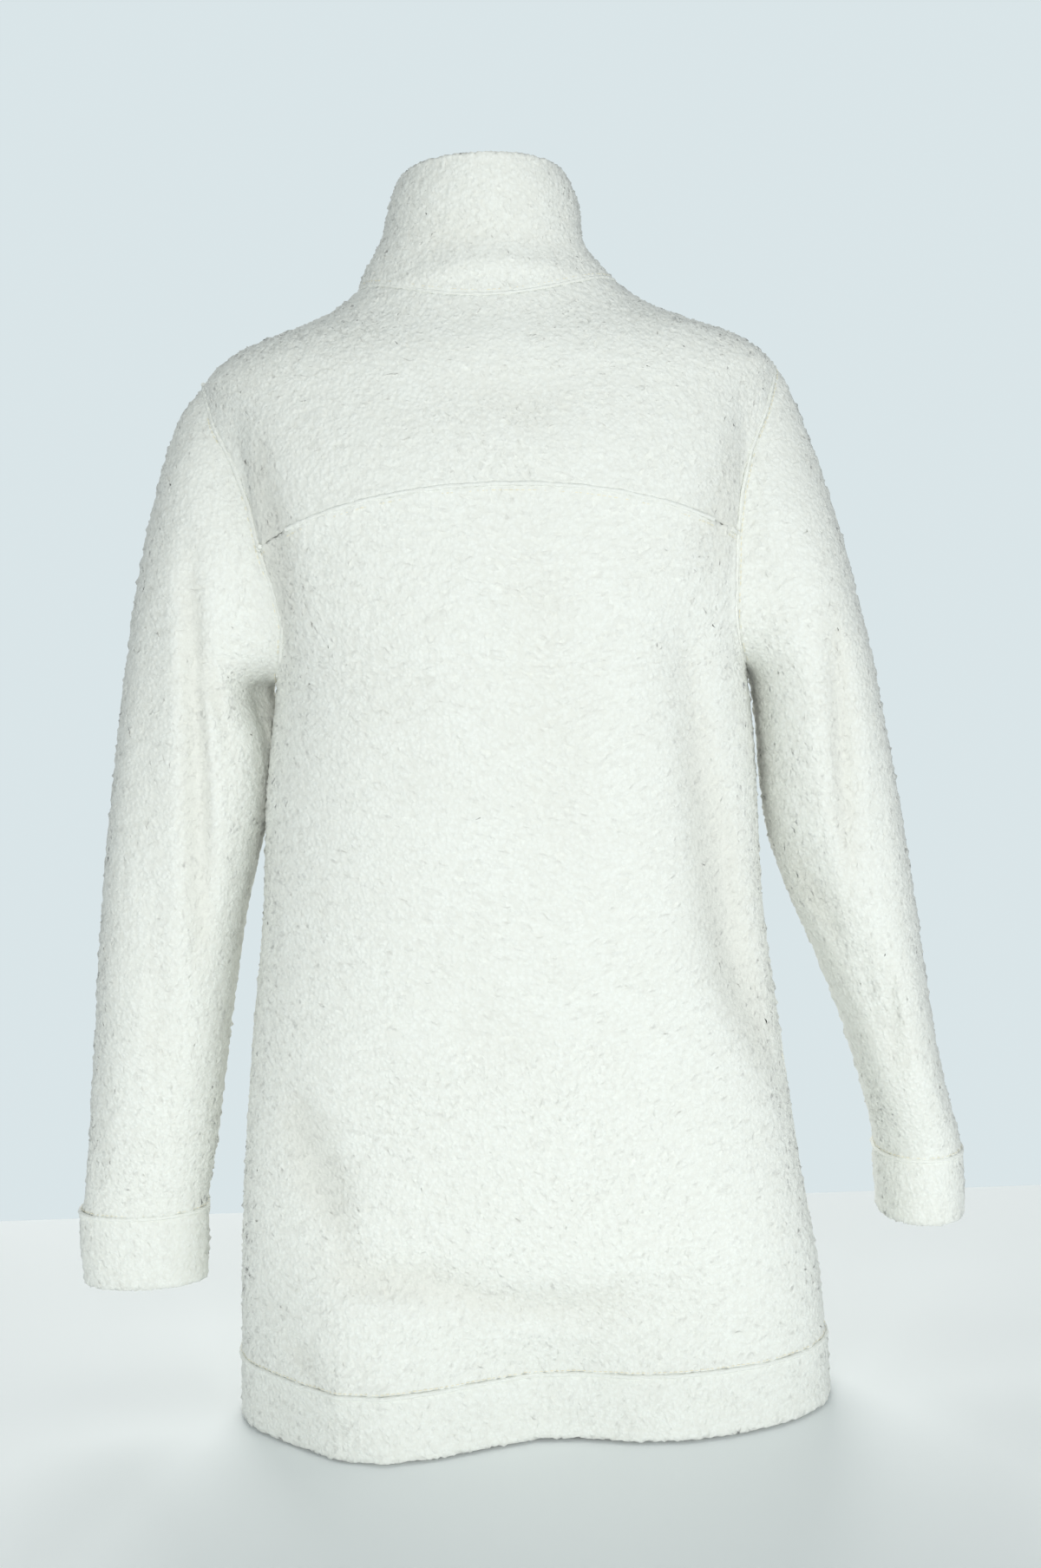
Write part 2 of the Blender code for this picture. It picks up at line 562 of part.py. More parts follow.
def slider_frame():
    """Place of the slider on the tapes, with X along its width, Y out of the cloth, Z up the zip."""
    angle, level = np.array([180.0]), np.array([SLIDER_LEVEL])
    skin = body_wall(angle, level, deep=CLOTH + SEAM_GAP)[1][0]
    outward = body_normal(angle, level, body_point)[0]
    up_zip = Vector(outward).cross(Vector((1.0, 0.0, 0.0))).normalized()
    if up_zip.z < 0:
        up_zip = -up_zip
    across = Vector(outward).cross(up_zip).normalized()
    turned = Matrix((across, Vector(outward), up_zip)).transposed().to_4x4()
    turned.translation = Vector(skin) + Vector(outward) * SEAM_GAP
    return turned


def plate(mesh, outline, thickness, hole=()):
    """A flat plate in the XZ plane from y = 0 to y = thickness, with an optional hole."""
    edges = []
    for loop in (outline, hole):
        points = [mesh.verts.new((x, 0.0, z)) for x, z in loop]
        edges += [mesh.edges.new((point, points[(index + 1) % len(points)]))
                  for index, point in enumerate(points)]
    faces = bmesh.ops.triangle_fill(mesh, edges=edges, use_beauty=True)["geom"]
    faces = [face for face in faces if isinstance(face, bmesh.types.BMFace)]
    grown = bmesh.ops.extrude_face_region(mesh, geom=faces)["geom"]
    moved = [item for item in grown if isinstance(item, bmesh.types.BMVert)]
    bmesh.ops.translate(mesh, vec=(0.0, thickness, 0.0), verts=moved)


def build_slider(frame):
    mesh = bmesh.new()
    top, low, long = SLIDER_TOP_WIDE / 2, SLIDER_LOW_WIDE / 2, SLIDER_LONG / 2
    cut = SLIDER_ROUND
    outline = [(-top + cut, long), (-top, long - cut), (-top, 0.0), (-low, -long + cut),
               (-low + cut, -long), (low - cut, -long), (low, -long + cut), (top, 0.0),
               (top, long - cut), (top - cut, long)]
    plate(mesh, outline, SLIDER_THICK)
    slider = finished("zip_slider", mesh, METAL_COLOUR, roughness=0.35, metallic=1.0)
    bail = bmesh.new()
    arch_out = bail_arch(BAIL_LONG / 2, BAIL_HIGH)
    arch_in = bail_arch(BAIL_LONG / 2 - BAIL_WIRE, BAIL_HIGH - BAIL_WIRE)
    outline = arch_out + arch_in[::-1]
    points = [[bail.verts.new((x, SLIDER_THICK + out, up)) for out, up in outline]
              for x in (-BAIL_WIDE / 2, BAIL_WIDE / 2)]
    count, half = len(outline), len(arch_out)
    for index in range(count):
        after = (index + 1) % count
        bail.faces.new((points[0][index], points[0][after], points[1][after], points[1][index]))
    for side in points:
        for index in range(half - 1):
            bail.faces.new((side[index], side[index + 1], side[count - 2 - index],
                            side[count - 1 - index]))
    arch = finished("bail_helper", bail, METAL_COLOUR, roughness=0.35, metallic=1.0)
    arch.hide_render = True
    arch.display_type = "WIRE"
    for piece in (slider, arch):
        piece.matrix_world = frame
    join = slider.modifiers.new("bail", "BOOLEAN")
    join.operation = "UNION"
    join.object = arch


def bail_arch(half_long, high):
    """(out, up) points of an arch over the slider's face, its feet sunk into the slider."""
    arc = [math.pi * step / ARC_STEPS for step in range(ARC_STEPS + 1)]
    top = [(high * min(1.0, BAIL_FLATNESS * math.sin(turn)), half_long * math.cos(turn)) for turn in arc[1:-1]]
    return [(-SLIDER_ROUND, half_long), (0.0, half_long)] + top + [
        (0.0, -half_long), (-SLIDER_ROUND, -half_long)]


def build_pull(frame):
    """The pull tab, hanging from the bail. Its own origin is on the axis of its top bar."""
    mesh = bmesh.new()
    half, bar = PULL_WIDE / 2, PULL_BAR / 2
    round_end = [(half * math.cos(turn), -PULL_LONG + half + half * math.sin(turn))
                 for turn in np.linspace(math.pi, 2 * math.pi, ARC_STEPS + 1)]
    outline = [(half - bar, bar), (-half + bar, bar), (-half, 0.0)] + round_end + [(half, 0.0)]
    window = PULL_WINDOW_WIDE / 2
    hole = [(-window, -bar), (-window, -bar - PULL_WINDOW_LONG),
            (window, -bar - PULL_WINDOW_LONG), (window, -bar)]
    plate(mesh, outline, PULL_THICK, hole)
    bmesh.ops.translate(mesh, vec=(0.0, -PULL_THICK / 2, 0.0), verts=mesh.verts)
    pull = finished("zip_pull", mesh, METAL_COLOUR, roughness=0.35, metallic=1.0)
    out = SLIDER_THICK + (BAIL_HIGH - BAIL_WIRE) / 2
    pull.matrix_world = frame @ Matrix.Translation((0.0, out, 0.0))


def build():
    for piece in list(bpy.data.objects):
        bpy.data.objects.remove(piece, do_unlink=True)
    build_back()
    build_fronts()
    build_hem_and_collar()
    build_sleeve("left", 1, LEFT_SLEEVE_ROWS, LEFT_CUFF_ROWS, LEFT_SLEEVE_FOLDS)
    build_sleeve("right", -1, RIGHT_SLEEVE_ROWS, RIGHT_CUFF_ROWS, RIGHT_SLEEVE_FOLDS)
    build_tapes()
    frame = slider_frame()
    build_slider(frame)
    build_pull(frame)


build()
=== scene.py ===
"""Looks of the long fleece jacket: short curly pile on every cloth piece, seams, stitching and zip."""

import math

import bmesh
import bpy
import numpy as np
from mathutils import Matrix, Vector
from mathutils.bvhtree import BVHTree
from mathutils.kdtree import KDTree


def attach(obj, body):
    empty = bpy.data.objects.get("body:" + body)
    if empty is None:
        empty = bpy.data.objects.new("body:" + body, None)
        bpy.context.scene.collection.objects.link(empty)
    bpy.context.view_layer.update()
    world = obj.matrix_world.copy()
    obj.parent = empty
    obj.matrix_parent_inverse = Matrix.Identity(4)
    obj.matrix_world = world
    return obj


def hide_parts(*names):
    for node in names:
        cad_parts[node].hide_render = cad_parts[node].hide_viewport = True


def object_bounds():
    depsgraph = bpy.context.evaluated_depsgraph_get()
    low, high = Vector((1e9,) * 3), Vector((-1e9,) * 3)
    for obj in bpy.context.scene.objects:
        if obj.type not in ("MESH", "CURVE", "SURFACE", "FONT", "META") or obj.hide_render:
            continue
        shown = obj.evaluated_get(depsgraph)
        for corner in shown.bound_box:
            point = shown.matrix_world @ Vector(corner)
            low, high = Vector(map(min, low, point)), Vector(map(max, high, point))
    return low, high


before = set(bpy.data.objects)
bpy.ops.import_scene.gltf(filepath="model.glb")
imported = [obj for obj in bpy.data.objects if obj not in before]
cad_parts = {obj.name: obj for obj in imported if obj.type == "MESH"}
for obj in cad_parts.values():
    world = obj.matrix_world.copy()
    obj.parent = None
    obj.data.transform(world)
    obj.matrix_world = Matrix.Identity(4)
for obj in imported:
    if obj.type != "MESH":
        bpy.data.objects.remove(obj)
cad_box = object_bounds()

# ---------------------------------------------------------------- room
# The jacket stands filled out just above a pale table, and the camera sees its back. The light is
# wide and soft: a large window-like panel behind the camera, a weaker one at the picture's right and
# a fill for the side that the photo doesn't show.
IMAGE_WIDE, IMAGE_HIGH, FOCAL_PX = 1200, 1807, 2000
SENSOR_MM, CAMERA_NEAR = 36.0, 0.01
CAMERA_PLACE, CAMERA_DOWN_DEG, CAMERA_ROLL_DEG = (-0.0074, 1.2, -0.210), 5.3, 2.0
TABLE_GAP, TABLE_WIDE, TABLE_BACK, TABLE_FRONT = 0.0012, 1.7, -0.445, 0.75
ROOM_COLOUR, TABLE_COLOUR, TABLE_ROUGH = (0.70, 0.785, 0.81), (0.95, 0.98, 0.98), 0.9
WORLD_LIGHTS, WORLD_SEEN = 0.42, 1.0    # the room's strength as a light, and as the camera sees it
LIGHTS_AIM = (0, 0, -0.35)


def plain_finish(name, colour, roughness, metallic=0.0):
    """A material of one even colour."""
    finish = bpy.data.materials.new(name)
    finish.use_nodes = True
    shader = finish.node_tree.nodes["Principled BSDF"]
    shader.inputs["Base Color"].default_value = (*colour, 1.0)
    shader.inputs["Roughness"].default_value = roughness
    shader.inputs["Metallic"].default_value = metallic
    return finish


camera_data = bpy.data.cameras.new("camera")
camera = bpy.data.objects.new("camera", camera_data)
bpy.context.scene.collection.objects.link(camera)
bpy.context.scene.camera = camera
camera_data.sensor_width = SENSOR_MM
camera_data.lens = SENSOR_MM * FOCAL_PX / max(IMAGE_WIDE, IMAGE_HIGH)
camera_data.clip_start = CAMERA_NEAR
camera.location = CAMERA_PLACE
camera.rotation_euler = (math.radians(90 - CAMERA_DOWN_DEG), 0.0, math.pi)
camera.rotation_euler.rotate_axis("Z", -math.radians(CAMERA_ROLL_DEG))

bpy.ops.object.select_all(action="DESELECT")
bpy.ops.mesh.primitive_plane_add(size=1.0)
table = bpy.context.object
table.name = "table"
bpy.ops.object.mode_set(mode="EDIT")
bpy.ops.transform.resize(value=(TABLE_WIDE, TABLE_FRONT - TABLE_BACK, 1), center_override=(0, 0, 0))
bpy.ops.transform.translate(value=(0, (TABLE_FRONT + TABLE_BACK) / 2, cad_box[0].z - TABLE_GAP))
bpy.ops.object.mode_set(mode="OBJECT")
table.data.materials.append(plain_finish("table_cloth", TABLE_COLOUR, TABLE_ROUGH))

world = bpy.data.worlds.new("room")
bpy.context.scene.world = world
world.use_nodes = True
links, nodes = world.node_tree.links, world.node_tree.nodes
sky = nodes["Background"]
sky.inputs["Color"].default_value = (*ROOM_COLOUR, 1.0)
path = nodes.new("ShaderNodeLightPath")
strength = nodes.new("ShaderNodeMix")
strength.inputs["A"].default_value, strength.inputs["B"].default_value = WORLD_LIGHTS, WORLD_SEEN
links.new(path.outputs["Is Camera Ray"], strength.inputs["Factor"])
links.new(strength.outputs["Result"], sky.inputs["Strength"])

LIGHTS = (
    # name, place, size, watts, colour
    ("window", (0.25, 2.7, -0.15), 2.1, 44.0, (0.99, 1.0, 0.985)),
    ("bounce", (-1.7, 1.7, -0.2), 1.4, 14.0, (0.98, 0.99, 1.0)),
    ("front_fill", (0.4, -2.6, 0.6), 2.2, 66.0, (1.0, 0.99, 0.97)),
)
for name, place, size, watts, colour in LIGHTS:
    light = bpy.data.lights.new(name, "AREA")
    light.energy, light.size, light.color = watts, size, colour
    lamp = bpy.data.objects.new(name, light)
    bpy.context.scene.collection.objects.link(lamp)
    lamp.location = place
    lamp.rotation_euler = (Vector(LIGHTS_AIM) - Vector(place)).to_track_quat("-Z", "Y").to_euler()
bpy.context.scene.view_settings.view_transform = "Standard"

# ---------------------------------------------------------------- back panel
# Cut in one piece from heavy polyester fleece: a knitted ground whose outer face is a short curly
# pile, brushed up and tumbled. It hangs from the yoke seam to the hem band.
SHARP_DEG = 50             # a wall turns more than this from its face into its edge
MERGE_NEAR, QUAD_DEG = 1e-5, 60                 # points this close are one, and flatter pairs a quad
LONG_FACET = 0.0072        # facets longer than this are halved before the pile is cut fine
CURL_SIZE, CURL_HIGH = 0.0042, 0.0026           # one curl of the pile, and how far it stands out
CLUMP_SIZE, CLUMP_HIGH = 0.012, 0.0009          # curls gather into clumps
LOFT_SIZE, LOFT_HIGH = 0.055, 0.0016            # and the nap stands unevenly
STRAY_SIZE, STRAY_FAR = 0.0019, 0.0046          # single curls lean any way
# The pile's own cream, and a darker, warmer colour painted as shade into the hollows between curls and into
# pressed troughs.
PILE_COLOUR, PILE_SHADE_COLOUR = (0.890, 0.910, 0.868), (0.802, 0.806, 0.748)
GROUND_COLOUR = (0.80, 0.785, 0.715)
SEAM_WIDE, SEAM_DEEP = 0.0013, 0.0003           # a seam's groove in the pile
SEAM_CLOSE = 0.0006        # the pile of two pieces meets over the seam
RIDGE_AWAY, RIDGE_WIDE = 0.0028, 0.0020         # the ridge beside it
RIDGE_HIGH = {"back_panel": 0.0009, "sleeve_left": 0.0008, "sleeve_right": 0.0005}
RIDGE_OTHER = 0.0002
FULL_FACET = 0.0016        # where facets are smaller than this, the pile is raised less
TROUGH_SHADE_DEPTH = 0.007        # a trough this deep is painted fully in the darker shade colour
KEPT_SMOOTH = 0.74         # share of the smooth cloth's shading that the raised pile keeps
TURNED, LAID_BACK, LAID_TIMES = 0.30, 0.5, 4    # cosine to the cloth below which a facet is laid back
CLEAR_WAY = 0.5            # a sum of face normals shorter than this gives no clear way out
LEAST_ASIDE = 0.2          # and a lean of a normal smaller than this isn't made full
SEAM_PILE, SEAM_PILE_FAR = 0.15, 3.5            # pile left in a seam, and its growth beside it
LEAST_PILE, PILE_LEVELS = 0.2, 10               # pile on the smallest facets, and its steps
BAND_HIGH, FACE_DEEP = 0.03, 0.012              # a tube's middle is found for each band of its height
MM_PER_M, FAR_OFF = 1000, 9.0                   # creases are in mm, and far off is beyond any crease

BACK_CREASES = (
    # along the crease: x, z, half width and depth in mm (a trough has depth below 0)
    ((-119, -236, 9, -1.2), (-127, -318, 13, -5.2), (-134, -362, 15, -6.8), (-142, -423, 16, -6.4),
     (-160, -485, 13, -4.4), (-172, -524, 9, -1.0)),
    ((154, -516, 12, -0.8), (146, -552, 18, -5.0), (137, -582, 18, -5.6), (122, -624, 13, -1.8)),
    ((138, -640, 10, -1.0), (112, -647, 14, -4.6), (66, -651, 14, -5.0), (19, -667, 12, -3.6),
     (-35, -673, 13, -3.2), (-100, -667, 10, -0.8)),
    ((128, -664, 10, 0.5), (70, -676, 14, 1.8), (10, -692, 13, 1.4), (-60, -697, 10, 0.4)),
    ((164, -690, 8, -0.6), (158, -704, 11, -3.0), (147, -720, 8, -0.8)),
    ((-10, -120, 16, -0.5), (-22, -200, 22, -1.6), (-29, -300, 24, -1.5), (-28, -390, 18, -0.4)),
    ((157, -84, 8, -0.8), (152, -120, 11, -5.0), (148, -160, 13, -6.6), (143, -205, 11, -3.0),
     (142, -240, 8, -0.5)),
    ((-161, -84, 9, -0.6), (-151, -120, 14, -2.8), (-144, -150, 15, -3.4), (-139, -182, 11, -1.4)),
    ((88, -196, 16, -0.4), (70, -260, 24, -1.2), (64, -330, 18, -0.4)),
    ((50, -420, 16, -0.3), (20, -470, 26, -1.2), (-30, -500, 18, -0.3)),
    ((-60, -60, 12, -0.5), (-20, -72, 18, -1.4), (40, -66, 12, -0.4)),
)


def wall_copy(node):
    """A copy of a CAD wall with its loose triangles joined, its sides sorted, and smoothed to soft
    cloth."""
    bpy.ops.object.select_all(action="DESELECT")
    piece = bpy.data.objects.new(node + "_cloth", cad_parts[node].data.copy())
    bpy.context.scene.collection.objects.link(piece)
    bpy.context.view_layer.objects.active = piece
    piece.select_set(True)
    piece.data.materials.clear()
    bpy.ops.mesh.customdata_custom_splitnormals_clear()
    bpy.ops.object.mode_set(mode="EDIT")
    bpy.ops.mesh.select_all(action="SELECT")
    bpy.ops.mesh.remove_doubles(threshold=MERGE_NEAR)
    flat = math.radians(QUAD_DEG)
    bpy.ops.mesh.tris_convert_to_quads(face_threshold=flat, shape_threshold=flat)
    bpy.ops.mesh.select_all(action="DESELECT")
    bpy.ops.mesh.edges_select_sharp(sharpness=math.radians(SHARP_DEG))
    bpy.ops.transform.edge_crease(value=1.0)
    bpy.ops.object.mode_set(mode="OBJECT")
    sort_sides(piece.data)
    smooth = piece.modifiers.new("soft", "SUBSURF")
    smooth.levels = smooth.render_levels = 2
    bpy.ops.object.modifier_apply(modifier=smooth.name)
    return piece


def sort_sides(mesh):
    """Sorts a wall's faces by the stretches between sharp edges: the largest is the pile side and gets
    material 0, the next is the inner side and gets 1, and the cut edges get 2."""
    net = bmesh.new()
    net.from_mesh(mesh)
    seen, stretches = set(), []
    for start in net.faces:
        if start in seen:
            continue
        stretch, queue = [], [start]
        seen.add(start)
        while queue:
            face = queue.pop()
            stretch.append(face)
            soft = [edge for edge in face.edges if edge.calc_face_angle(math.pi) < math.radians(SHARP_DEG)]
            for other in [other for edge in soft for other in edge.link_faces]:
                if other not in seen:
                    seen.add(other)
                    queue.append(other)
        stretches.append(stretch)
    stretches.sort(key=lambda faces: -sum(face.calc_area() for face in faces))
    for rank, stretch in enumerate(stretches):
        for face in stretch:
            face.material_index = min(rank, 2)
    net.to_mesh(mesh)
    net.free()


def outer_edges(piece):
    """The lines where a wall's pile side ends, each as a list of places in order."""
    net = bmesh.new()
    net.from_mesh(piece.data)
    left = {}              # in the order of the edges, so that every run starts the lines alike
    for edge in net.edges:
        if edge.calc_face_angle(0.0) > math.radians(SHARP_DEG) and all(
                face.material_index != 1 for vertex in edge.verts for face in vertex.link_faces):
            left[edge] = True
    lines = []
    while left:
        edge = next(iter(left))
        del left[edge]
        line = [edge.verts[0], edge.verts[1]]
        for _ in range(2):
            while True:
                following = [other for other in line[-1].link_edges if other in left]
                if not following:
                    break
                del left[following[0]]
                line.append(following[0].other_vert(line[-1]))
            line.reverse()
        lines.append(np.array([vertex.co[:] for vertex in line]))
    net.free()
    return lines


def cut_fine(piece):
    """Divides the pile side's facets, first the long ones across and then all of them."""
    bpy.context.view_layer.objects.active = piece
    bpy.ops.object.mode_set(mode="EDIT")
    for kind in ("EDGE", "FACE"):
        bpy.ops.mesh.select_mode(type=kind)
        bpy.ops.mesh.select_all(action="DESELECT")
        net = bmesh.from_edit_mesh(piece.data)
        if kind == "EDGE":
            for edge in net.edges:
                pile = all(face.material_index != 1 for face in edge.link_faces)
                edge.select_set(pile and edge.calc_length() > LONG_FACET)
        else:
            for face in net.faces:
                face.select_set(face.material_index != 1)
        bmesh.update_edit_mesh(piece.data)
        bpy.ops.mesh.subdivide(number_cuts=1)
    bpy.ops.object.mode_set(mode="OBJECT")


def vertex_places(piece):
    """A piece's vertex places and normals."""
    places, normals = np.empty(len(piece.data.vertices) * 3), np.empty(len(piece.data.vertices) * 3)
    piece.data.vertices.foreach_get("co", places)
    piece.data.vertices.foreach_get("normal", normals)
    return places.reshape(-1, 3), normals.reshape(-1, 3)


def pile_vertices(piece):
    """True for each vertex that has only pile faces round it."""
    on_pile = np.ones(len(piece.data.vertices), bool)
    for face in piece.data.polygons:
        if face.material_index == 1:
            on_pile[list(face.vertices)] = False
    return on_pile


def outward(piece):
    """The way out of the pile side at each vertex, from the faces of that side alone."""
    mesh = piece.data
    _, ways = vertex_places(piece)
    faces = [face for face in mesh.polygons if face.material_index == 0]
    corners = np.concatenate([list(face.vertices) for face in faces])
    normals = np.repeat([face.normal[:] for face in faces], [len(face.vertices) for face in faces], axis=0)
    total = np.zeros((len(mesh.vertices), 3))
    np.add.at(total, corners, normals)
    long = np.linalg.norm(total, axis=1)
    clear = long > CLEAR_WAY
    ways[clear] = total[clear] / long[clear, None]
    return ways


def press(nodes, side, creases):
    """Presses soft troughs into the back (side 1) or the front (side -1) of some pieces, or raises
    ridges on it. Both faces of the wall move together."""
    for node in nodes:
        piece = walls[node]
        places, _ = vertex_places(piece)
        bands = np.round(places[:, 2] / BAND_HIGH).astype(int)
        middle = np.zeros(len(places))
        for band in np.unique(bands):
            depths = places[bands == band, 1]
            middle[bands == band] = (depths.min() + depths.max()) / 2
        if node in SINGLE_SIDED:
            middle = middle - side
        near = np.clip((places[:, 1] - middle) * side / FACE_DEEP, 0, 1)
        push = np.zeros(len(places))
        for crease in creases:
            line = np.array(crease, float) / MM_PER_M
            best, depth = np.full(len(places), FAR_OFF), np.zeros(len(places))
            for a, b in zip(line[:-1], line[1:]):
                along = b[:2] - a[:2]
                share = np.clip((places[:, (0, 2)] - a[:2]) @ along / (along @ along), 0, 1)
                gap = np.linalg.norm(places[:, (0, 2)] - a[:2] - share[:, None] * along, axis=1)
                gap = gap / (a[2] + share * (b[2] - a[2]))
                depth = np.where(gap < best, a[3] + share * (b[3] - a[3]), depth)
                best = np.minimum(gap, best)
            push += depth * np.exp(-best ** 2)
        places[:, 1] += push * near * side
        piece.data.vertices.foreach_set("co", places.ravel())
        piece.data.update()
        # Troughs are also painted as shade: each vertex keeps the deepest trough pressed into it, for the
        # fleece finish to darken.
        hollow = piece.data.attributes.get("hollow") or piece.data.attributes.new("hollow", "FLOAT", "POINT")
        before = np.empty(len(places))
        hollow.data.foreach_get("value", before)
        hollow.data.foreach_set("value", np.maximum(before, np.clip(-push * near / TROUGH_SHADE_DEPTH, 0, 1)))


def tuck_seams(node):
    """Draws a piece's pile in along its seams, and raises it to a narrow ridge beside them."""
    piece = walls[node]
    places, _ = vertex_places(piece)
    on_pile = pile_vertices(piece)
    gaps = np.full(len(places), 1.0)
    for i in np.flatnonzero(on_pile):
        gaps[i] = seam_tree.find(places[i])[2]
    high = RIDGE_HIGH.get(node, RIDGE_OTHER) * np.exp(-(((gaps - RIDGE_AWAY) / RIDGE_WIDE) ** 2))
    high -= SEAM_DEEP * np.exp(-((gaps / SEAM_WIDE) ** 2))
    ways = outward(piece)
    _, normals = vertex_places(piece)
    over = normals - (normals * ways).sum(axis=1)[:, None] * ways
    over /= np.maximum(np.linalg.norm(over, axis=1), LEAST_ASIDE)[:, None]
    places += high[:, None] * ways + (SEAM_CLOSE * np.exp(-((gaps / SEAM_WIDE) ** 2)))[:, None] * over
    piece.data.vertices.foreach_set("co", places.ravel())
    piece.data.update()
    group = piece.vertex_groups.new(name="pile")
    ends = np.array([edge.vertices[:] for edge in piece.data.edges])
    long = np.linalg.norm(places[ends[:, 0]] - places[ends[:, 1]], axis=1)
    short = np.full(len(places), 1.0)
    for end in ends.T:
        np.minimum.at(short, end, long)
    full = np.clip(SEAM_PILE + gaps / (SEAM_PILE_FAR * SEAM_WIDE), 0, 1)
    full = full * np.clip(short / FULL_FACET, LEAST_PILE, 1)
    for level in range(1, PILE_LEVELS + 1):
        share = np.flatnonzero(on_pile & (np.ceil(PILE_LEVELS * full) == level))
        group.add(share.tolist(), level / PILE_LEVELS, "REPLACE")


def cloud(name, kind, size):
    """A texture that raises the pile, with lumps of this size."""
    texture = bpy.data.textures.new(name, kind)
    texture.noise_scale = size
    return texture


loft, clumps, curls, strays = (
    cloud("loft", "CLOUDS", LOFT_SIZE), cloud("clumps", "CLOUDS", CLUMP_SIZE),
    cloud("curls", "VORONOI", CURL_SIZE), cloud("strays", "CLOUDS", STRAY_SIZE))
strays.cloud_type = "COLOR"
PILE_STEPS = ((loft, LOFT_HIGH, "NORMAL"), (clumps, CLUMP_HIGH, "NORMAL"), (curls, -CURL_HIGH, "NORMAL"),
              (strays, STRAY_FAR, "RGB_TO_XYZ"))


def lay_back(piece, cloth, ways):
    """Moves curls whose facets have turned over back towards the places they rose from. Left as they
    are, they show as dark slits."""
    mesh = piece.data
    starts, corners = np.empty(len(mesh.polygons), np.int32), np.empty(len(mesh.loops), np.int32)
    mesh.polygons.foreach_get("loop_start", starts)
    mesh.loops.foreach_get("vertex_index", corners)
    up = np.add.reduceat(ways[corners], starts, axis=0)
    up /= np.maximum(np.linalg.norm(up, axis=1), 1e-9)[:, None]
    counts = np.diff(np.append(starts, len(corners)))
    for _ in range(LAID_TIMES):
        facing = np.empty(len(starts) * 3, np.float32)
        mesh.polygons.foreach_get("normal", facing)
        turned = (facing.reshape(-1, 3) * up).sum(axis=1) < TURNED
        laid = np.unique(corners[np.repeat(turned, counts)])
        places, _ = vertex_places(piece)
        places[laid] += (cloth[laid] - places[laid]) * LAID_BACK
        mesh.vertices.foreach_set("co", places.ravel())
        mesh.update()


def raise_pile(piece):
    """Gives the pile side its clumps, curls and strays, in the cloth's own surface."""
    bpy.context.view_layer.objects.active = piece
    cloth, smooth = vertex_places(piece)
    for texture, high, direction in PILE_STEPS:
        lift = piece.modifiers.new(texture.name, "DISPLACE")
        lift.texture, lift.strength, lift.direction = texture, high, direction
        lift.texture_coords, lift.mid_level, lift.vertex_group = "LOCAL", 0.5, "pile"
        bpy.ops.object.modifier_apply(modifier=lift.name)
    lay_back(piece, cloth, smooth)
    for face in piece.data.polygons:
        face.use_smooth = True
    _, raised = vertex_places(piece)
    mixed = raised + (smooth - raised) * KEPT_SMOOTH
    mixed /= np.linalg.norm(mixed, axis=1)[:, None]
    piece.data.normals_split_custom_set_from_vertices(mixed.tolist())


GRAIN_BEND, FIBRE_SHARE = 0.0026, 0.35    # how far noise bends the curls, and how high fibres stand


def pile_grain():
    """Node group: the look of short curly pile, as painted shade from 0 in the hollows between curls to 1
    on their lit tips, a slow unevenness of colour, and a height for bump."""
    group = bpy.data.node_groups.new("pile_grain", "ShaderNodeTree")
    group.interface.new_socket("Curl Scale", in_out="INPUT", socket_type="NodeSocketFloat")
    for name in ("Curl Shading", "Mottle", "Height"):
        group.interface.new_socket(name, in_out="OUTPUT", socket_type="NodeSocketFloat")
    add, link = group.nodes.new, group.links.new
    entry, end = add("NodeGroupInput"), add("NodeGroupOutput")
    place = add("ShaderNodeTexCoord")
    bend = add("ShaderNodeTexNoise")
    bend.inputs["Scale"].default_value, bend.inputs["Detail"].default_value = 260.0, 1.0
    shift = add("ShaderNodeVectorMath")
    shift.operation = "MULTIPLY_ADD"
    shift.inputs[1].default_value = (GRAIN_BEND, GRAIN_BEND, GRAIN_BEND)
    curls = add("ShaderNodeTexVoronoi")
    curls.feature = "SMOOTH_F1"
    curls.inputs["Smoothness"].default_value = 0.35
    fibres = add("ShaderNodeTexNoise")
    fibres.inputs["Scale"].default_value, fibres.inputs["Detail"].default_value = 1500.0, 3.0
    mottle = add("ShaderNodeTexNoise")
    mottle.inputs["Scale"].default_value, mottle.inputs["Detail"].default_value = 38.0, 4.0
    tips = add("ShaderNodeMapRange")
    tips.inputs["From Min"].default_value, tips.inputs["From Max"].default_value = 0.75, 0.10
    height = add("ShaderNodeMath")
    height.operation = "MULTIPLY_ADD"
    height.inputs[1].default_value = FIBRE_SHARE
    link(place.outputs["Object"], bend.inputs["Vector"])
    link(bend.outputs["Color"], shift.inputs[0])
    link(place.outputs["Object"], shift.inputs[2])
    link(shift.outputs["Vector"], curls.inputs["Vector"])
    link(entry.outputs["Curl Scale"], curls.inputs["Scale"])
    link(place.outputs["Object"], fibres.inputs["Vector"])
    link(place.outputs["Object"], mottle.inputs["Vector"])
    link(curls.outputs["Distance"], tips.inputs["Value"])
    link(fibres.outputs["Fac"], height.inputs[0])
    link(tips.outputs["Result"], height.inputs[2])
    link(tips.outputs["Result"], end.inputs["Curl Shading"])
    link(mottle.outputs["Fac"], end.inputs["Mottle"])
    link(height.outputs["Value"], end.inputs["Height"])
    return group


grain_group = pile_grain()


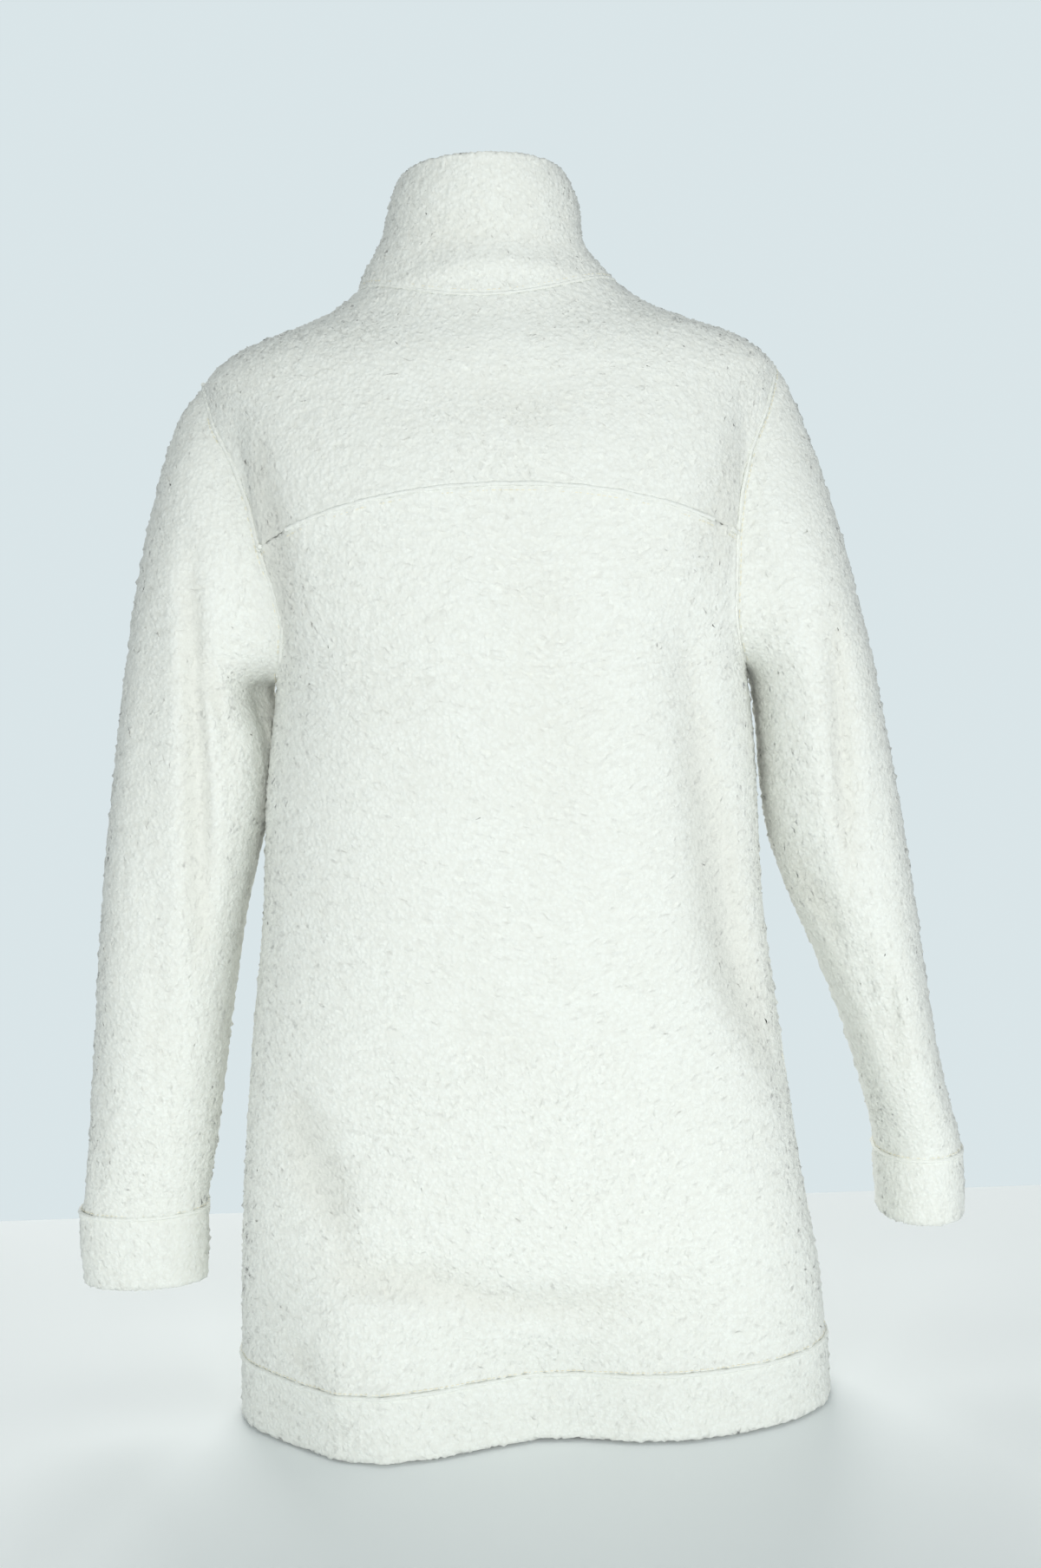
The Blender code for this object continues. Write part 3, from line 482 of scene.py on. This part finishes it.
def fleece(name, light, hollow, curl_scale, bump_far, sheen):
    """Fleece finish: cream curl tips over hollows painted darker and warmer as shade, uneven like brushed
    pile.
    """
    finish = bpy.data.materials.new(name)
    finish.use_nodes = True
    add, link = finish.node_tree.nodes.new, finish.node_tree.links.new
    shader = finish.node_tree.nodes["Principled BSDF"]
    shader.inputs["Roughness"].default_value = 0.92
    shader.inputs["Specular IOR Level"].default_value = 0.18
    shader.inputs["Sheen Weight"].default_value = sheen
    shader.inputs["Sheen Roughness"].default_value = 0.6
    grain = add("ShaderNodeGroup")
    grain.node_tree = grain_group
    grain.inputs["Curl Scale"].default_value = curl_scale
    depth = add("ShaderNodeMapRange")
    depth.inputs["To Min"].default_value = 0.35
    patch = add("ShaderNodeMapRange")
    patch.inputs["From Min"].default_value, patch.inputs["From Max"].default_value = 0.30, 0.70
    patch.inputs["To Min"].default_value = 0.70
    both = add("ShaderNodeMath")
    both.operation = "MULTIPLY"
    shade_mix = add("ShaderNodeMix")
    shade_mix.data_type = "RGBA"
    shade_mix.inputs[6].default_value, shade_mix.inputs[7].default_value = (*hollow, 1.0), (*light, 1.0)
    bump = add("ShaderNodeBump")
    bump.inputs["Distance"].default_value = bump_far
    bump.inputs["Strength"].default_value = 0.55
    # Colour runs from painted shade in the hollows between curls to the cream of the tips, with random uneven
    # patches.
    link(grain.outputs["Curl Shading"], depth.inputs["Value"])
    link(grain.outputs["Mottle"], patch.inputs["Value"])
    link(depth.outputs["Result"], both.inputs[0])
    link(patch.outputs["Result"], both.inputs[1])
    # Pressed troughs are painted further towards the shade colour, by the depth stored on the mesh.
    trough = add("ShaderNodeAttribute")
    trough.attribute_name = "hollow"
    shade = add("ShaderNodeMath")
    shade.operation, shade.use_clamp = "SUBTRACT", True
    link(both.outputs["Value"], shade.inputs[0])
    link(trough.outputs["Fac"], shade.inputs[1])
    link(shade.outputs["Value"], shade_mix.inputs[0])
    link(shade_mix.outputs[2], shader.inputs["Base Color"])
    link(grain.outputs["Height"], bump.inputs["Height"])
    link(bump.outputs["Normal"], shader.inputs["Normal"])
    return finish


pile_finish = fleece("curly_pile", PILE_COLOUR, PILE_SHADE_COLOUR, curl_scale=330.0, bump_far=0.0007,
                     sheen=0.25)
ground_finish = fleece("brushed_ground", GROUND_COLOUR, PILE_SHADE_COLOUR, curl_scale=620.0,
                       bump_far=0.0003, sheen=0.10)
walls, edge_lines, sheets = {}, {}, {}
SINGLE_SIDED = ("back_panel", "back_yoke", "front_left", "front_right")


def cut_cloth(node, flat, area, held):
    """Starts a cloth piece from its CAD wall, with its width and length, area and hold as a sheet.
    The pile is raised once its seams are known."""
    walls[node] = wall_copy(node)
    edge_lines[node] = outer_edges(walls[node])
    sheets[node] = (flat, area, held)


cut_cloth("back_panel", (0.51, 0.60), 0.257, "hung")
press(("back_panel",), 1, BACK_CREASES)

# ---------------------------------------------------------------- back yoke
# The same fleece, cut with a curved lower edge. It lies over the shoulders, sewn over the back
# panel's upper edge, which lifts the pile to a narrow ridge.
cut_cloth("back_yoke", (0.45, 0.19), 0.062, "draped")
press(("back_yoke",), 1, BACK_CREASES)

# ---------------------------------------------------------------- fronts
# The two fronts of the same fleece hang from the shoulder seams, each sewn to its half of the zip.
# They aren't seen in the photo, so their folds follow those of the back.
FRONT_CREASES = (
    ((150, -100, 9, -0.6), (144, -140, 13, -3.2), (138, -185, 12, -2.6), (134, -225, 8, -0.5)),
    ((-150, -104, 9, -0.6), (-146, -138, 14, -2.6), (-139, -176, 12, -3.0), (-132, -230, 8, -0.6)),
    ((126, -250, 9, -0.6), (132, -330, 13, -2.6), (140, -400, 14, -3.4), (150, -470, 10, -0.8)),
    ((-132, -300, 9, -0.5), (-139, -372, 14, -2.8), (-150, -440, 13, -2.0), (-158, -490, 9, -0.5)),
    ((40, -260, 14, -0.4), (46, -340, 20, -1.6), (44, -430, 14, -0.4)),
    ((-52, -180, 14, -0.4), (-46, -262, 20, -1.4), (-50, -330, 14, -0.4)),
    ((-150, -560, 10, -0.6), (-138, -602, 15, -2.6), (-118, -648, 11, -0.8)),
    ((140, -632, 10, -0.6), (104, -650, 15, -2.6), (52, -656, 12, -1.0)),
    ((-60, -676, 10, -0.4), (-96, -664, 14, -2.0), (-140, -668, 10, -0.6)),
)
cut_cloth("front_left", (0.27, 0.78), 0.165, "hung")
cut_cloth("front_right", (0.28, 0.78), 0.164, "hung")
press(("front_left", "front_right"), -1, FRONT_CREASES)

# ---------------------------------------------------------------- sleeves
# Set-in sleeves of the same fleece, each one piece closed by a seam below the arm. They hang
# beside the body with shallow lengthwise troughs.
SLEEVE_BACK = (
    ((203, -150, 6, -0.8), (204, -195, 7, -5.0), (206, -262, 7, -8.6), (209, -332, 8, -9.4),
     (212, -384, 8, -6.0), (215, -440, 7, -1.0)),
    ((196, -226, 4, -0.8), (192, -252, 4, -4.6), (187, -288, 4, -0.8)),
    ((192, -240, 6, 0.4), (194, -320, 8, 2.0), (200, -400, 6, 0.4)),
    ((240, -420, 9, -0.3), (246, -474, 12, -1.8), (251, -530, 9, -0.3)),
    ((-217, -200, 7, -0.6), (-220, -250, 8, -4.4), (-223, -310, 8, -6.4), (-226, -366, 8, -3.4),
     (-229, -410, 7, -0.5)),
    ((-176, -362, 5, 0.6), (-190, -402, 7, 2.4), (-214, -452, 6, 0.6)),
    ((-190, -362, 5, -0.6), (-203, -398, 7, -4.4), (-228, -446, 6, -0.8)),
    ((-256, -450, 8, -0.3), (-265, -505, 11, -1.9), (-276, -560, 8, -0.3)),
)
SLEEVE_FRONT = (
    ((200, -160, 7, -0.5), (206, -214, 10, -2.8), (216, -286, 11, -3.2), (224, -350, 8, -0.8)),
    ((228, -380, 7, -0.5), (236, -430, 10, -2.2), (248, -486, 8, -0.5)),
    ((188, -240, 5, -0.6), (200, -262, 7, -2.4), (214, -272, 5, -0.5)),
    ((-204, -170, 7, -0.5), (-214, -240, 10, -3.0), (-222, -300, 9, -1.0)),
    ((-226, -330, 7, -0.5), (-240, -392, 10, -2.6), (-256, -452, 8, -0.6)),
    ((-192, -250, 5, -0.5), (-206, -276, 7, -2.4), (-222, -288, 5, -0.5)),
)
LEFT_SLEEVE_LEAN = 0.0042  # its inner side leans to the body below the armhole
LEFT_FOLD_LEAN = 0.0120    # and in front, a fold of it fills the upper part of the gap
LEAN_AT, LEAN_OVER = (0.166, -0.300), (0.030, 0.055)          # x and z of the lean, and its reach
FOLD_AT, FOLD_OVER = (0.170, -0.262), (0.020, 0.036)
FOLD_BACK, FOLD_DEEP = 0.004, 0.020                           # the fold fades out towards the back
cut_cloth("sleeve_left", (0.38, 0.59), 0.175, "hung")
cut_cloth("sleeve_right", (0.36, 0.59), 0.161, "hung")
places, _ = vertex_places(walls["sleeve_left"])
beside, before = (
    np.exp(-((places[:, 0] - at[0]) / over[0]) ** 2 - ((places[:, 2] - at[1]) / over[1]) ** 2)
    for at, over in ((LEAN_AT, LEAN_OVER), (FOLD_AT, FOLD_OVER)))
before *= np.clip((FOLD_BACK - places[:, 1]) / FOLD_DEEP, 0, 1)
places[:, 0] -= LEFT_SLEEVE_LEAN * beside + LEFT_FOLD_LEAN * before
walls["sleeve_left"].data.vertices.foreach_set("co", places.ravel())
press(("sleeve_left", "sleeve_right"), 1, SLEEVE_BACK)
press(("sleeve_left", "sleeve_right"), -1, SLEEVE_FRONT)

# ---------------------------------------------------------------- cuffs
# A straight band of the same fleece round each wrist, sewn to the sleeve's lower edge and nearly as
# full as it is.
cut_cloth("cuff_left", (0.24, 0.055), 0.0130, "stretched")
cut_cloth("cuff_right", (0.24, 0.051), 0.0119, "stretched")

# ---------------------------------------------------------------- hem band
# One straight band round the lower edge, from zip to zip. It waves in and out as the cloth above.
cut_cloth("hem_band", (1.08, 0.046), 0.0492, "stretched")
press(("hem_band",), 1, BACK_CREASES)
press(("hem_band",), -1, FRONT_CREASES)

# ---------------------------------------------------------------- collar
# A tall stand collar of the same fleece, sewn to the neck edge. It stands up by its own stiffness
# and rolls out a little over the neck seam.
COLLAR_BACK = (
    ((-60, 14, 6, 0.6), (-46, 17, 7, 2.0), (-12, 21, 8, 2.8), (28, 18, 8, 2.8), (62, 13, 6, 1.0)),
    ((-46, 36, 7, -0.5), (-8, 40, 9, -1.6), (30, 37, 9, -1.6), (48, 32, 7, -0.5)),
    ((50, 44, 8, -0.3), (22, 50, 12, -1.2), (-12, 47, 9, -0.3)),
    ((-44, 66, 8, -0.3), (-20, 62, 11, -1.0), (6, 68, 8, -0.3)),
)
cut_cloth("collar", (0.45, 0.092), 0.0381, "stretched")
press(("collar",), 1, COLLAR_BACK)

# ---------------------------------------------------------------- sewing
# Lockstitch in cream thread joins the pieces. Each seam draws the pile in, and a row of topstitching
# lies sunk in it on one side.
STITCH_LONG, STITCH_STEP, STITCH_THICK, STITCH_WIDE = 0.0029, 0.0037, 0.00042, 0.000672
FIRST_STITCH, STITCH_SUNK = 0.2, 0.5            # start of a row, in steps, and share sunk in the pile
SEAM_DOT_STEP = 0.0015     # seams are marked this closely
SEWN_GAP = 0.0022          # an edge this near another piece is drawn in by its seam
RIDGE_GAP = 0.0080         # and the ridge of pile covers it where it is this near
RIDGE_MORE = 0.006         # a ridge goes on past the end of an edge by up to this
RIDGE_SUNK, RIDGE_LUMPS = 0.15, (0.75, 1.15)    # its depth in the seam, and its uneven thickness
ARMHOLE_LOW = -0.250       # below this the sleeve only lies beside the body
BY_ZIP = 0.020             # a front's edge this near the middle is the one at the zip
THREAD_COLOUR, THREAD_ROUGH = (0.90, 0.84, 0.66), 0.7


def cloth_tree(piece, pile_only=False):
    """A tree of a piece's faces, or only of those on its pile side, for finding the nearest spot."""
    faces = [tuple(face.vertices) for face in piece.data.polygons
             if not pile_only or face.material_index == 0]
    return BVHTree.FromPolygons([tuple(place) for place in vertex_places(piece)[0]], faces)


cloth_trees = {node: cloth_tree(piece) for node, piece in walls.items()}
pile_trees = {node: cloth_tree(piece, pile_only=True) for node, piece in walls.items()}
seam_dots = []
for node, lines in edge_lines.items():
    for line in lines:
        for a, b in zip(line[:-1], line[1:]):
            number = max(1, int(np.linalg.norm(b - a) / SEAM_DOT_STEP))
            for dot in [a + (b - a) * k / number for k in range(number)]:
                if any(tree.find_nearest(Vector(dot), SEWN_GAP)[0] for other, tree in cloth_trees.items()
                       if other != node):
                    seam_dots.append(dot)
seam_tree = KDTree(len(seam_dots))
for i, dot in enumerate(seam_dots):
    seam_tree.insert(dot, i)
seam_tree.balance()
for node, piece in walls.items():
    cut_fine(piece)
    tuck_seams(node)
    raise_pile(piece)
    piece.data.materials.append(pile_finish)
    piece.data.materials.append(ground_finish)
    piece.data.materials.append(pile_finish)
    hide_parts(node)
    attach(piece, "jacket")


def copies(model, name, turns, places, finish):
    """One joined mesh with a copy of a model at each place, turned by the rows of a matrix."""
    base = np.array([vertex.co[:] for vertex in model.data.vertices])
    corners = [tuple(face.vertices) for face in model.data.polygons]
    spots = np.concatenate([base @ np.array(turn) + place for turn, place in zip(turns, places)])
    faces = [tuple(i + k * len(base) for i in corner) for k in range(len(places)) for corner in corners]
    mesh = bpy.data.meshes.new(name)
    mesh.from_pydata(spots.tolist(), [], faces)
    mesh.materials.append(finish)
    joined = bpy.data.objects.new(name, mesh)
    bpy.context.scene.collection.objects.link(joined)
    for face in mesh.polygons:
        face.use_smooth = True
    return joined


thread_finish = plain_finish("thread", THREAD_COLOUR, THREAD_ROUGH)
bpy.ops.object.select_all(action="DESELECT")
bpy.ops.mesh.primitive_uv_sphere_add(segments=6, ring_count=4, radius=0.5)
stitch = bpy.context.object
stitch.name = "stitch_model"
bpy.ops.object.mode_set(mode="EDIT")
bpy.ops.transform.resize(value=(STITCH_WIDE, STITCH_THICK, STITCH_LONG), center_override=(0, 0, 0))
bpy.ops.object.mode_set(mode="OBJECT")

BODY = ("back_yoke", "back_panel", "front_left", "front_right")
SEAMS = (
    # name, pieces whose edges are followed, pieces they are sewn to, piece that carries the row of
    # stitches, the row's distance from the edge, radius of the ridge of pile over the seam
    ("yoke_seam", ("back_yoke",), ("back_panel",), "back_panel", 0.0040, 0.0017),
    ("armhole_seam_left", BODY, ("sleeve_left",), "sleeve_left", 0.0024, 0.0016),
    ("armhole_seam_right", BODY, ("sleeve_right",), "sleeve_right", 0.0024, 0.0013),
    ("side_seam_left", ("back_panel",), ("front_left",), "back_panel", 0.0024, 0.0013),
    ("side_seam_right", ("back_panel",), ("front_right",), "back_panel", 0.0024, 0.0013),
    ("shoulder_seams", ("back_yoke",), ("front_left", "front_right"), "back_yoke", 0.0024, 0.0013),
    ("cuff_seam_left", ("cuff_left",), ("sleeve_left",), "sleeve_left", 0.0028, 0.0017),
    ("cuff_seam_right", ("cuff_right",), ("sleeve_right",), "sleeve_right", 0.0028, 0.0017),
    ("hem_seam_back", ("hem_band",), ("back_panel",), "back_panel", 0.0028, 0.0017),
    ("hem_seam_left", ("hem_band",), ("front_left",), "front_left", 0.0028, 0.0017),
    ("hem_seam_right", ("hem_band",), ("front_right",), "front_right", 0.0028, 0.0017),
    ("neck_seam", ("collar",), BODY, "collar", 0.0030, 0.0013),
    ("front_seam_left", ("front_left",), (), "front_left", 0.0050, 0.0),
    ("front_seam_right", ("front_right",), (), "front_right", 0.0050, 0.0),
)

finished = {node: cloth_tree(piece) for node, piece in walls.items()}
lumps = np.random.default_rng(7)
for name, follow, partners, carrier, inset, ridge in SEAMS:
    turns, places, runs = [], [], [[]]
    for line in [line for node in follow for line in edge_lines[node]]:
        starts = (line[0] - line[1], line[-1] - line[-2])
        line = np.concatenate([[line[0] + starts[0] / np.linalg.norm(starts[0]) * RIDGE_MORE], line,
                               [line[-1] + starts[1] / np.linalg.norm(starts[1]) * RIDGE_MORE]])
        run = np.concatenate([[0.0], np.cumsum(np.linalg.norm(np.diff(line, axis=0), axis=1))])
        marks = np.arange(FIRST_STITCH * STITCH_STEP, run[-1], STITCH_STEP)
        dots = np.stack([np.interp(marks, run, line[:, axis]) for axis in range(3)], axis=1)
        runs.append([])
        for mark, dot in enumerate(dots):
            sewn = any(cloth_trees[other].find_nearest(Vector(dot), RIDGE_GAP)[0] for other in partners)
            own = any(cloth_trees[node].find_nearest(Vector(dot), SEWN_GAP)[0] for node in follow)
            low = name.startswith("armhole") and dot[2] < ARMHOLE_LOW
            if low or not own or not sewn and (partners or abs(dot[0]) > BY_ZIP):
                runs.append([])
                continue
            ahead = Vector(dots[min(mark + 1, len(dots) - 1)] - dots[max(mark - 1, 0)]).normalized()
            _, normal, _, _ = pile_trees[carrier].find_nearest(Vector(dot))
            runs[-1].append(Vector(dot) - RIDGE_SUNK * ridge * normal)
            aside = ahead.cross(normal).normalized() * inset
            ways = [Vector(dot) + aside, Vector(dot) - aside]
            ways.sort(key=lambda way: pile_trees[carrier].find_nearest(way)[3])
            spot, out, _, _ = finished[carrier].find_nearest(ways[0])
            spot = spot + (ways[0] - spot) * STITCH_SUNK
            turns.append((ahead.cross(out).normalized()[:], out[:], ahead[:]))
            places.append(np.array(spot[:]))
    row = copies(stitch, name + "_stitches", turns, places, thread_finish)
    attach(row, "jacket")
    if not ridge:
        continue
    rolls = bpy.data.curves.new(name + "_ridge", "CURVE")
    rolls.dimensions, rolls.bevel_depth, rolls.bevel_resolution = "3D", ridge, 2
    rolls.use_fill_caps = True
    for dots in [dots for dots in runs if len(dots) > 1]:
        roll = rolls.splines.new("POLY")
        roll.points.add(len(dots) - 1)
        for point, dot in zip(roll.points, dots):
            point.co, point.radius = (*dot, 1.0), lumps.uniform(*RIDGE_LUMPS)
    bpy.ops.object.select_all(action="DESELECT")
    seam = bpy.data.objects.new(name + "_ridge", rolls)
    bpy.context.scene.collection.objects.link(seam)
    bpy.context.view_layer.objects.active = seam
    seam.select_set(True)
    bpy.ops.object.convert(target="MESH")
    bpy.ops.object.shade_smooth()
    seam.data.materials.append(pile_finish)
    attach(seam, "jacket")
bpy.data.objects.remove(stitch)

# ---------------------------------------------------------------- zip tapes
# Two woven polyester tapes, each sewn behind the edge of a front. They run from the hem up into the
# collar, and carry the chain on their inner edges.
TAPE_COLOUR, TAPE_ROUGH = (0.80, 0.77, 0.67), 0.75
EDGE_DEG, ROUNDING_STEPS = 35, 2                # edges sharper than this are rounded, in this many steps
tape_finish = plain_finish("woven_tape", TAPE_COLOUR, TAPE_ROUGH)
add, link = tape_finish.node_tree.nodes.new, tape_finish.node_tree.links.new
tape_shader = tape_finish.node_tree.nodes["Principled BSDF"]
rows = add("ShaderNodeTexWave")
rows.bands_direction = "Z"
rows.inputs["Scale"].default_value, rows.inputs["Distortion"].default_value = 700.0, 0.6
tape_place, tape_bump = add("ShaderNodeTexCoord"), add("ShaderNodeBump")
tape_bump.inputs["Distance"].default_value, tape_bump.inputs["Strength"].default_value = 0.0002, 0.6
link(tape_place.outputs["Object"], rows.inputs["Vector"])
link(rows.outputs["Fac"], tape_bump.inputs["Height"])
link(tape_bump.outputs["Normal"], tape_shader.inputs["Normal"])


def plain_copy(node, name, finish, rounding):
    """A copy of a CAD node, with its edges rounded where a rounding is given."""
    bpy.ops.object.select_all(action="DESELECT")
    piece = bpy.data.objects.new(name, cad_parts[node].data.copy())
    bpy.context.scene.collection.objects.link(piece)
    bpy.context.view_layer.objects.active = piece
    piece.select_set(True)
    piece.data.materials.clear()
    bpy.ops.mesh.customdata_custom_splitnormals_clear()
    bpy.ops.object.mode_set(mode="EDIT")
    bpy.ops.mesh.select_all(action="SELECT")
    bpy.ops.mesh.remove_doubles(threshold=MERGE_NEAR)
    bpy.ops.object.mode_set(mode="OBJECT")
    if rounding:
        soft = piece.modifiers.new("rounding", "BEVEL")
        soft.width, soft.segments, soft.limit_method = rounding, ROUNDING_STEPS, "ANGLE"
        soft.angle_limit = math.radians(EDGE_DEG)
        bpy.ops.object.modifier_apply(modifier=soft.name)
    bpy.ops.object.shade_smooth_by_angle(angle=math.radians(EDGE_DEG))
    piece.data.materials.append(finish)
    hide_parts(node)
    return piece


tapes = []
for side in ("left", "right"):
    tape = plain_copy("zip_tape_" + side, "tape_" + side, tape_finish, rounding=0.0)
    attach(tape, "jacket")
    tapes.append(tape)

# ---------------------------------------------------------------- zip teeth and stops
# A moulded chain in the cloth's cream: single teeth on the edge of each tape, meshed from the
# slider down. A stop closes each tape above the slider, and a box holds the two at the hem.
TOOTH_PITCH, TOOTH_SIZE, TOOTH_REACH = 0.0025, (0.0034, 0.0024, 0.0012), 0.0010
CHAIN_TOP, CHAIN_BOTTOM, STOP_PLACE, BOX_PLACE = 0.0360, -0.7540, 0.0526, -0.7600
TOOTH_ROUND, TOOTH_STAGGER = 0.0003, 0.25       # the teeth of one side stand half a pitch higher
STOP_SIZE, STOP_ROUND, STOP_ASIDE = (0.0034, 0.0030, 0.0030), 0.0006, 0.0021
BOX_SIZE, BOX_ROUND = (0.0092, 0.0036, 0.0110), 0.0008
BY_CHAIN, LEVEL_STEP, SMOOTH_OVER = 0.0010, 0.004, 17         # how the chain's line is found on the tapes
CHAIN_COLOUR, CHAIN_ROUGH = (0.78, 0.75, 0.65), 0.42
chain_finish = plain_finish("moulded_chain", CHAIN_COLOUR, CHAIN_ROUGH)

inner = np.concatenate([vertex_places(tape)[0] for tape in tapes])
inner = inner[np.abs(inner[:, 0]) < BY_CHAIN]
inner = inner[np.argsort(inner[:, 2])]
levels = np.arange(inner[0, 2], inner[-1, 2], LEVEL_STEP)
depths = np.pad(inner[:, 1], SMOOTH_OVER // 2, mode="edge")
path_y = np.interp(levels, inner[:, 2], np.convolve(depths, np.ones(SMOOTH_OVER) / SMOOTH_OVER, mode="valid"))


def block(name, size, rounding):
    """A bevelled block about the origin, the model for a tooth, a stop or the box."""
    bpy.ops.object.select_all(action="DESELECT")
    bpy.ops.mesh.primitive_cube_add(size=1.0)
    model = bpy.context.object
    model.name = name
    bpy.ops.object.mode_set(mode="EDIT")
    bpy.ops.transform.resize(value=size, center_override=(0, 0, 0))
    bpy.ops.mesh.bevel(offset=rounding, segments=1, affect="EDGES")
    bpy.ops.object.mode_set(mode="OBJECT")
    return model


def on_chain(level, aside):
    """The turn and place of something on the chain's line, at a height and this far to one side."""
    y = float(np.interp(level, levels, path_y))
    below, above = (float(np.interp(level + step, levels, path_y)) for step in (-LEVEL_STEP, LEVEL_STEP))
    along = Vector((0, above - below, 2 * LEVEL_STEP)).normalized()
    return ((1, 0, 0), along.cross(Vector((1, 0, 0)))[:], along[:]), np.array((aside, y, level))


tooth = block("tooth_model", TOOTH_SIZE, TOOTH_ROUND)
count = int((CHAIN_TOP - CHAIN_BOTTOM) / TOOTH_PITCH)
for sign, side in ((1, "left"), (-1, "right")):
    spots = [on_chain(CHAIN_TOP - (k + TOOTH_STAGGER + TOOTH_STAGGER * sign) * TOOTH_PITCH,
                      sign * (TOOTH_SIZE[0] / 2 - TOOTH_REACH)) for k in range(count)]
    chain = copies(tooth, "teeth_" + side, [turn for turn, _ in spots], [place for _, place in spots],
                   chain_finish)
    chain.data.polygons.foreach_set("use_smooth", [False] * len(chain.data.polygons))
    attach(chain, "jacket")
bpy.data.objects.remove(tooth)

stop = block("stop_model", STOP_SIZE, STOP_ROUND)
box = block("box_model", BOX_SIZE, BOX_ROUND)
ends = [(stop, "top_stop_left", STOP_PLACE, STOP_ASIDE), (stop, "top_stop_right", STOP_PLACE, -STOP_ASIDE),
        (box, "box_at_hem", BOX_PLACE, 0.0)]
for model, name, level, aside in ends:
    turn, place = on_chain(level, aside)
    end = copies(model, name, [turn], [place], chain_finish)
    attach(end, "jacket")
bpy.data.objects.remove(stop)
bpy.data.objects.remove(box)

# ---------------------------------------------------------------- slider and pull
# Die-cast slider in satin nickel, with its pull tab hanging from the bail.
METAL_COLOUR, METAL_ROUGH, METAL_ROUNDING = (0.56, 0.54, 0.50), 0.34, 0.00025
metal_finish = plain_finish("satin_nickel", METAL_COLOUR, METAL_ROUGH, metallic=1.0)

slider = plain_copy("zip_slider", "slider", metal_finish, METAL_ROUNDING)
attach(slider, "jacket")
pull = plain_copy("zip_pull", "pull", metal_finish, METAL_ROUNDING)
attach(pull, "pull_tab")
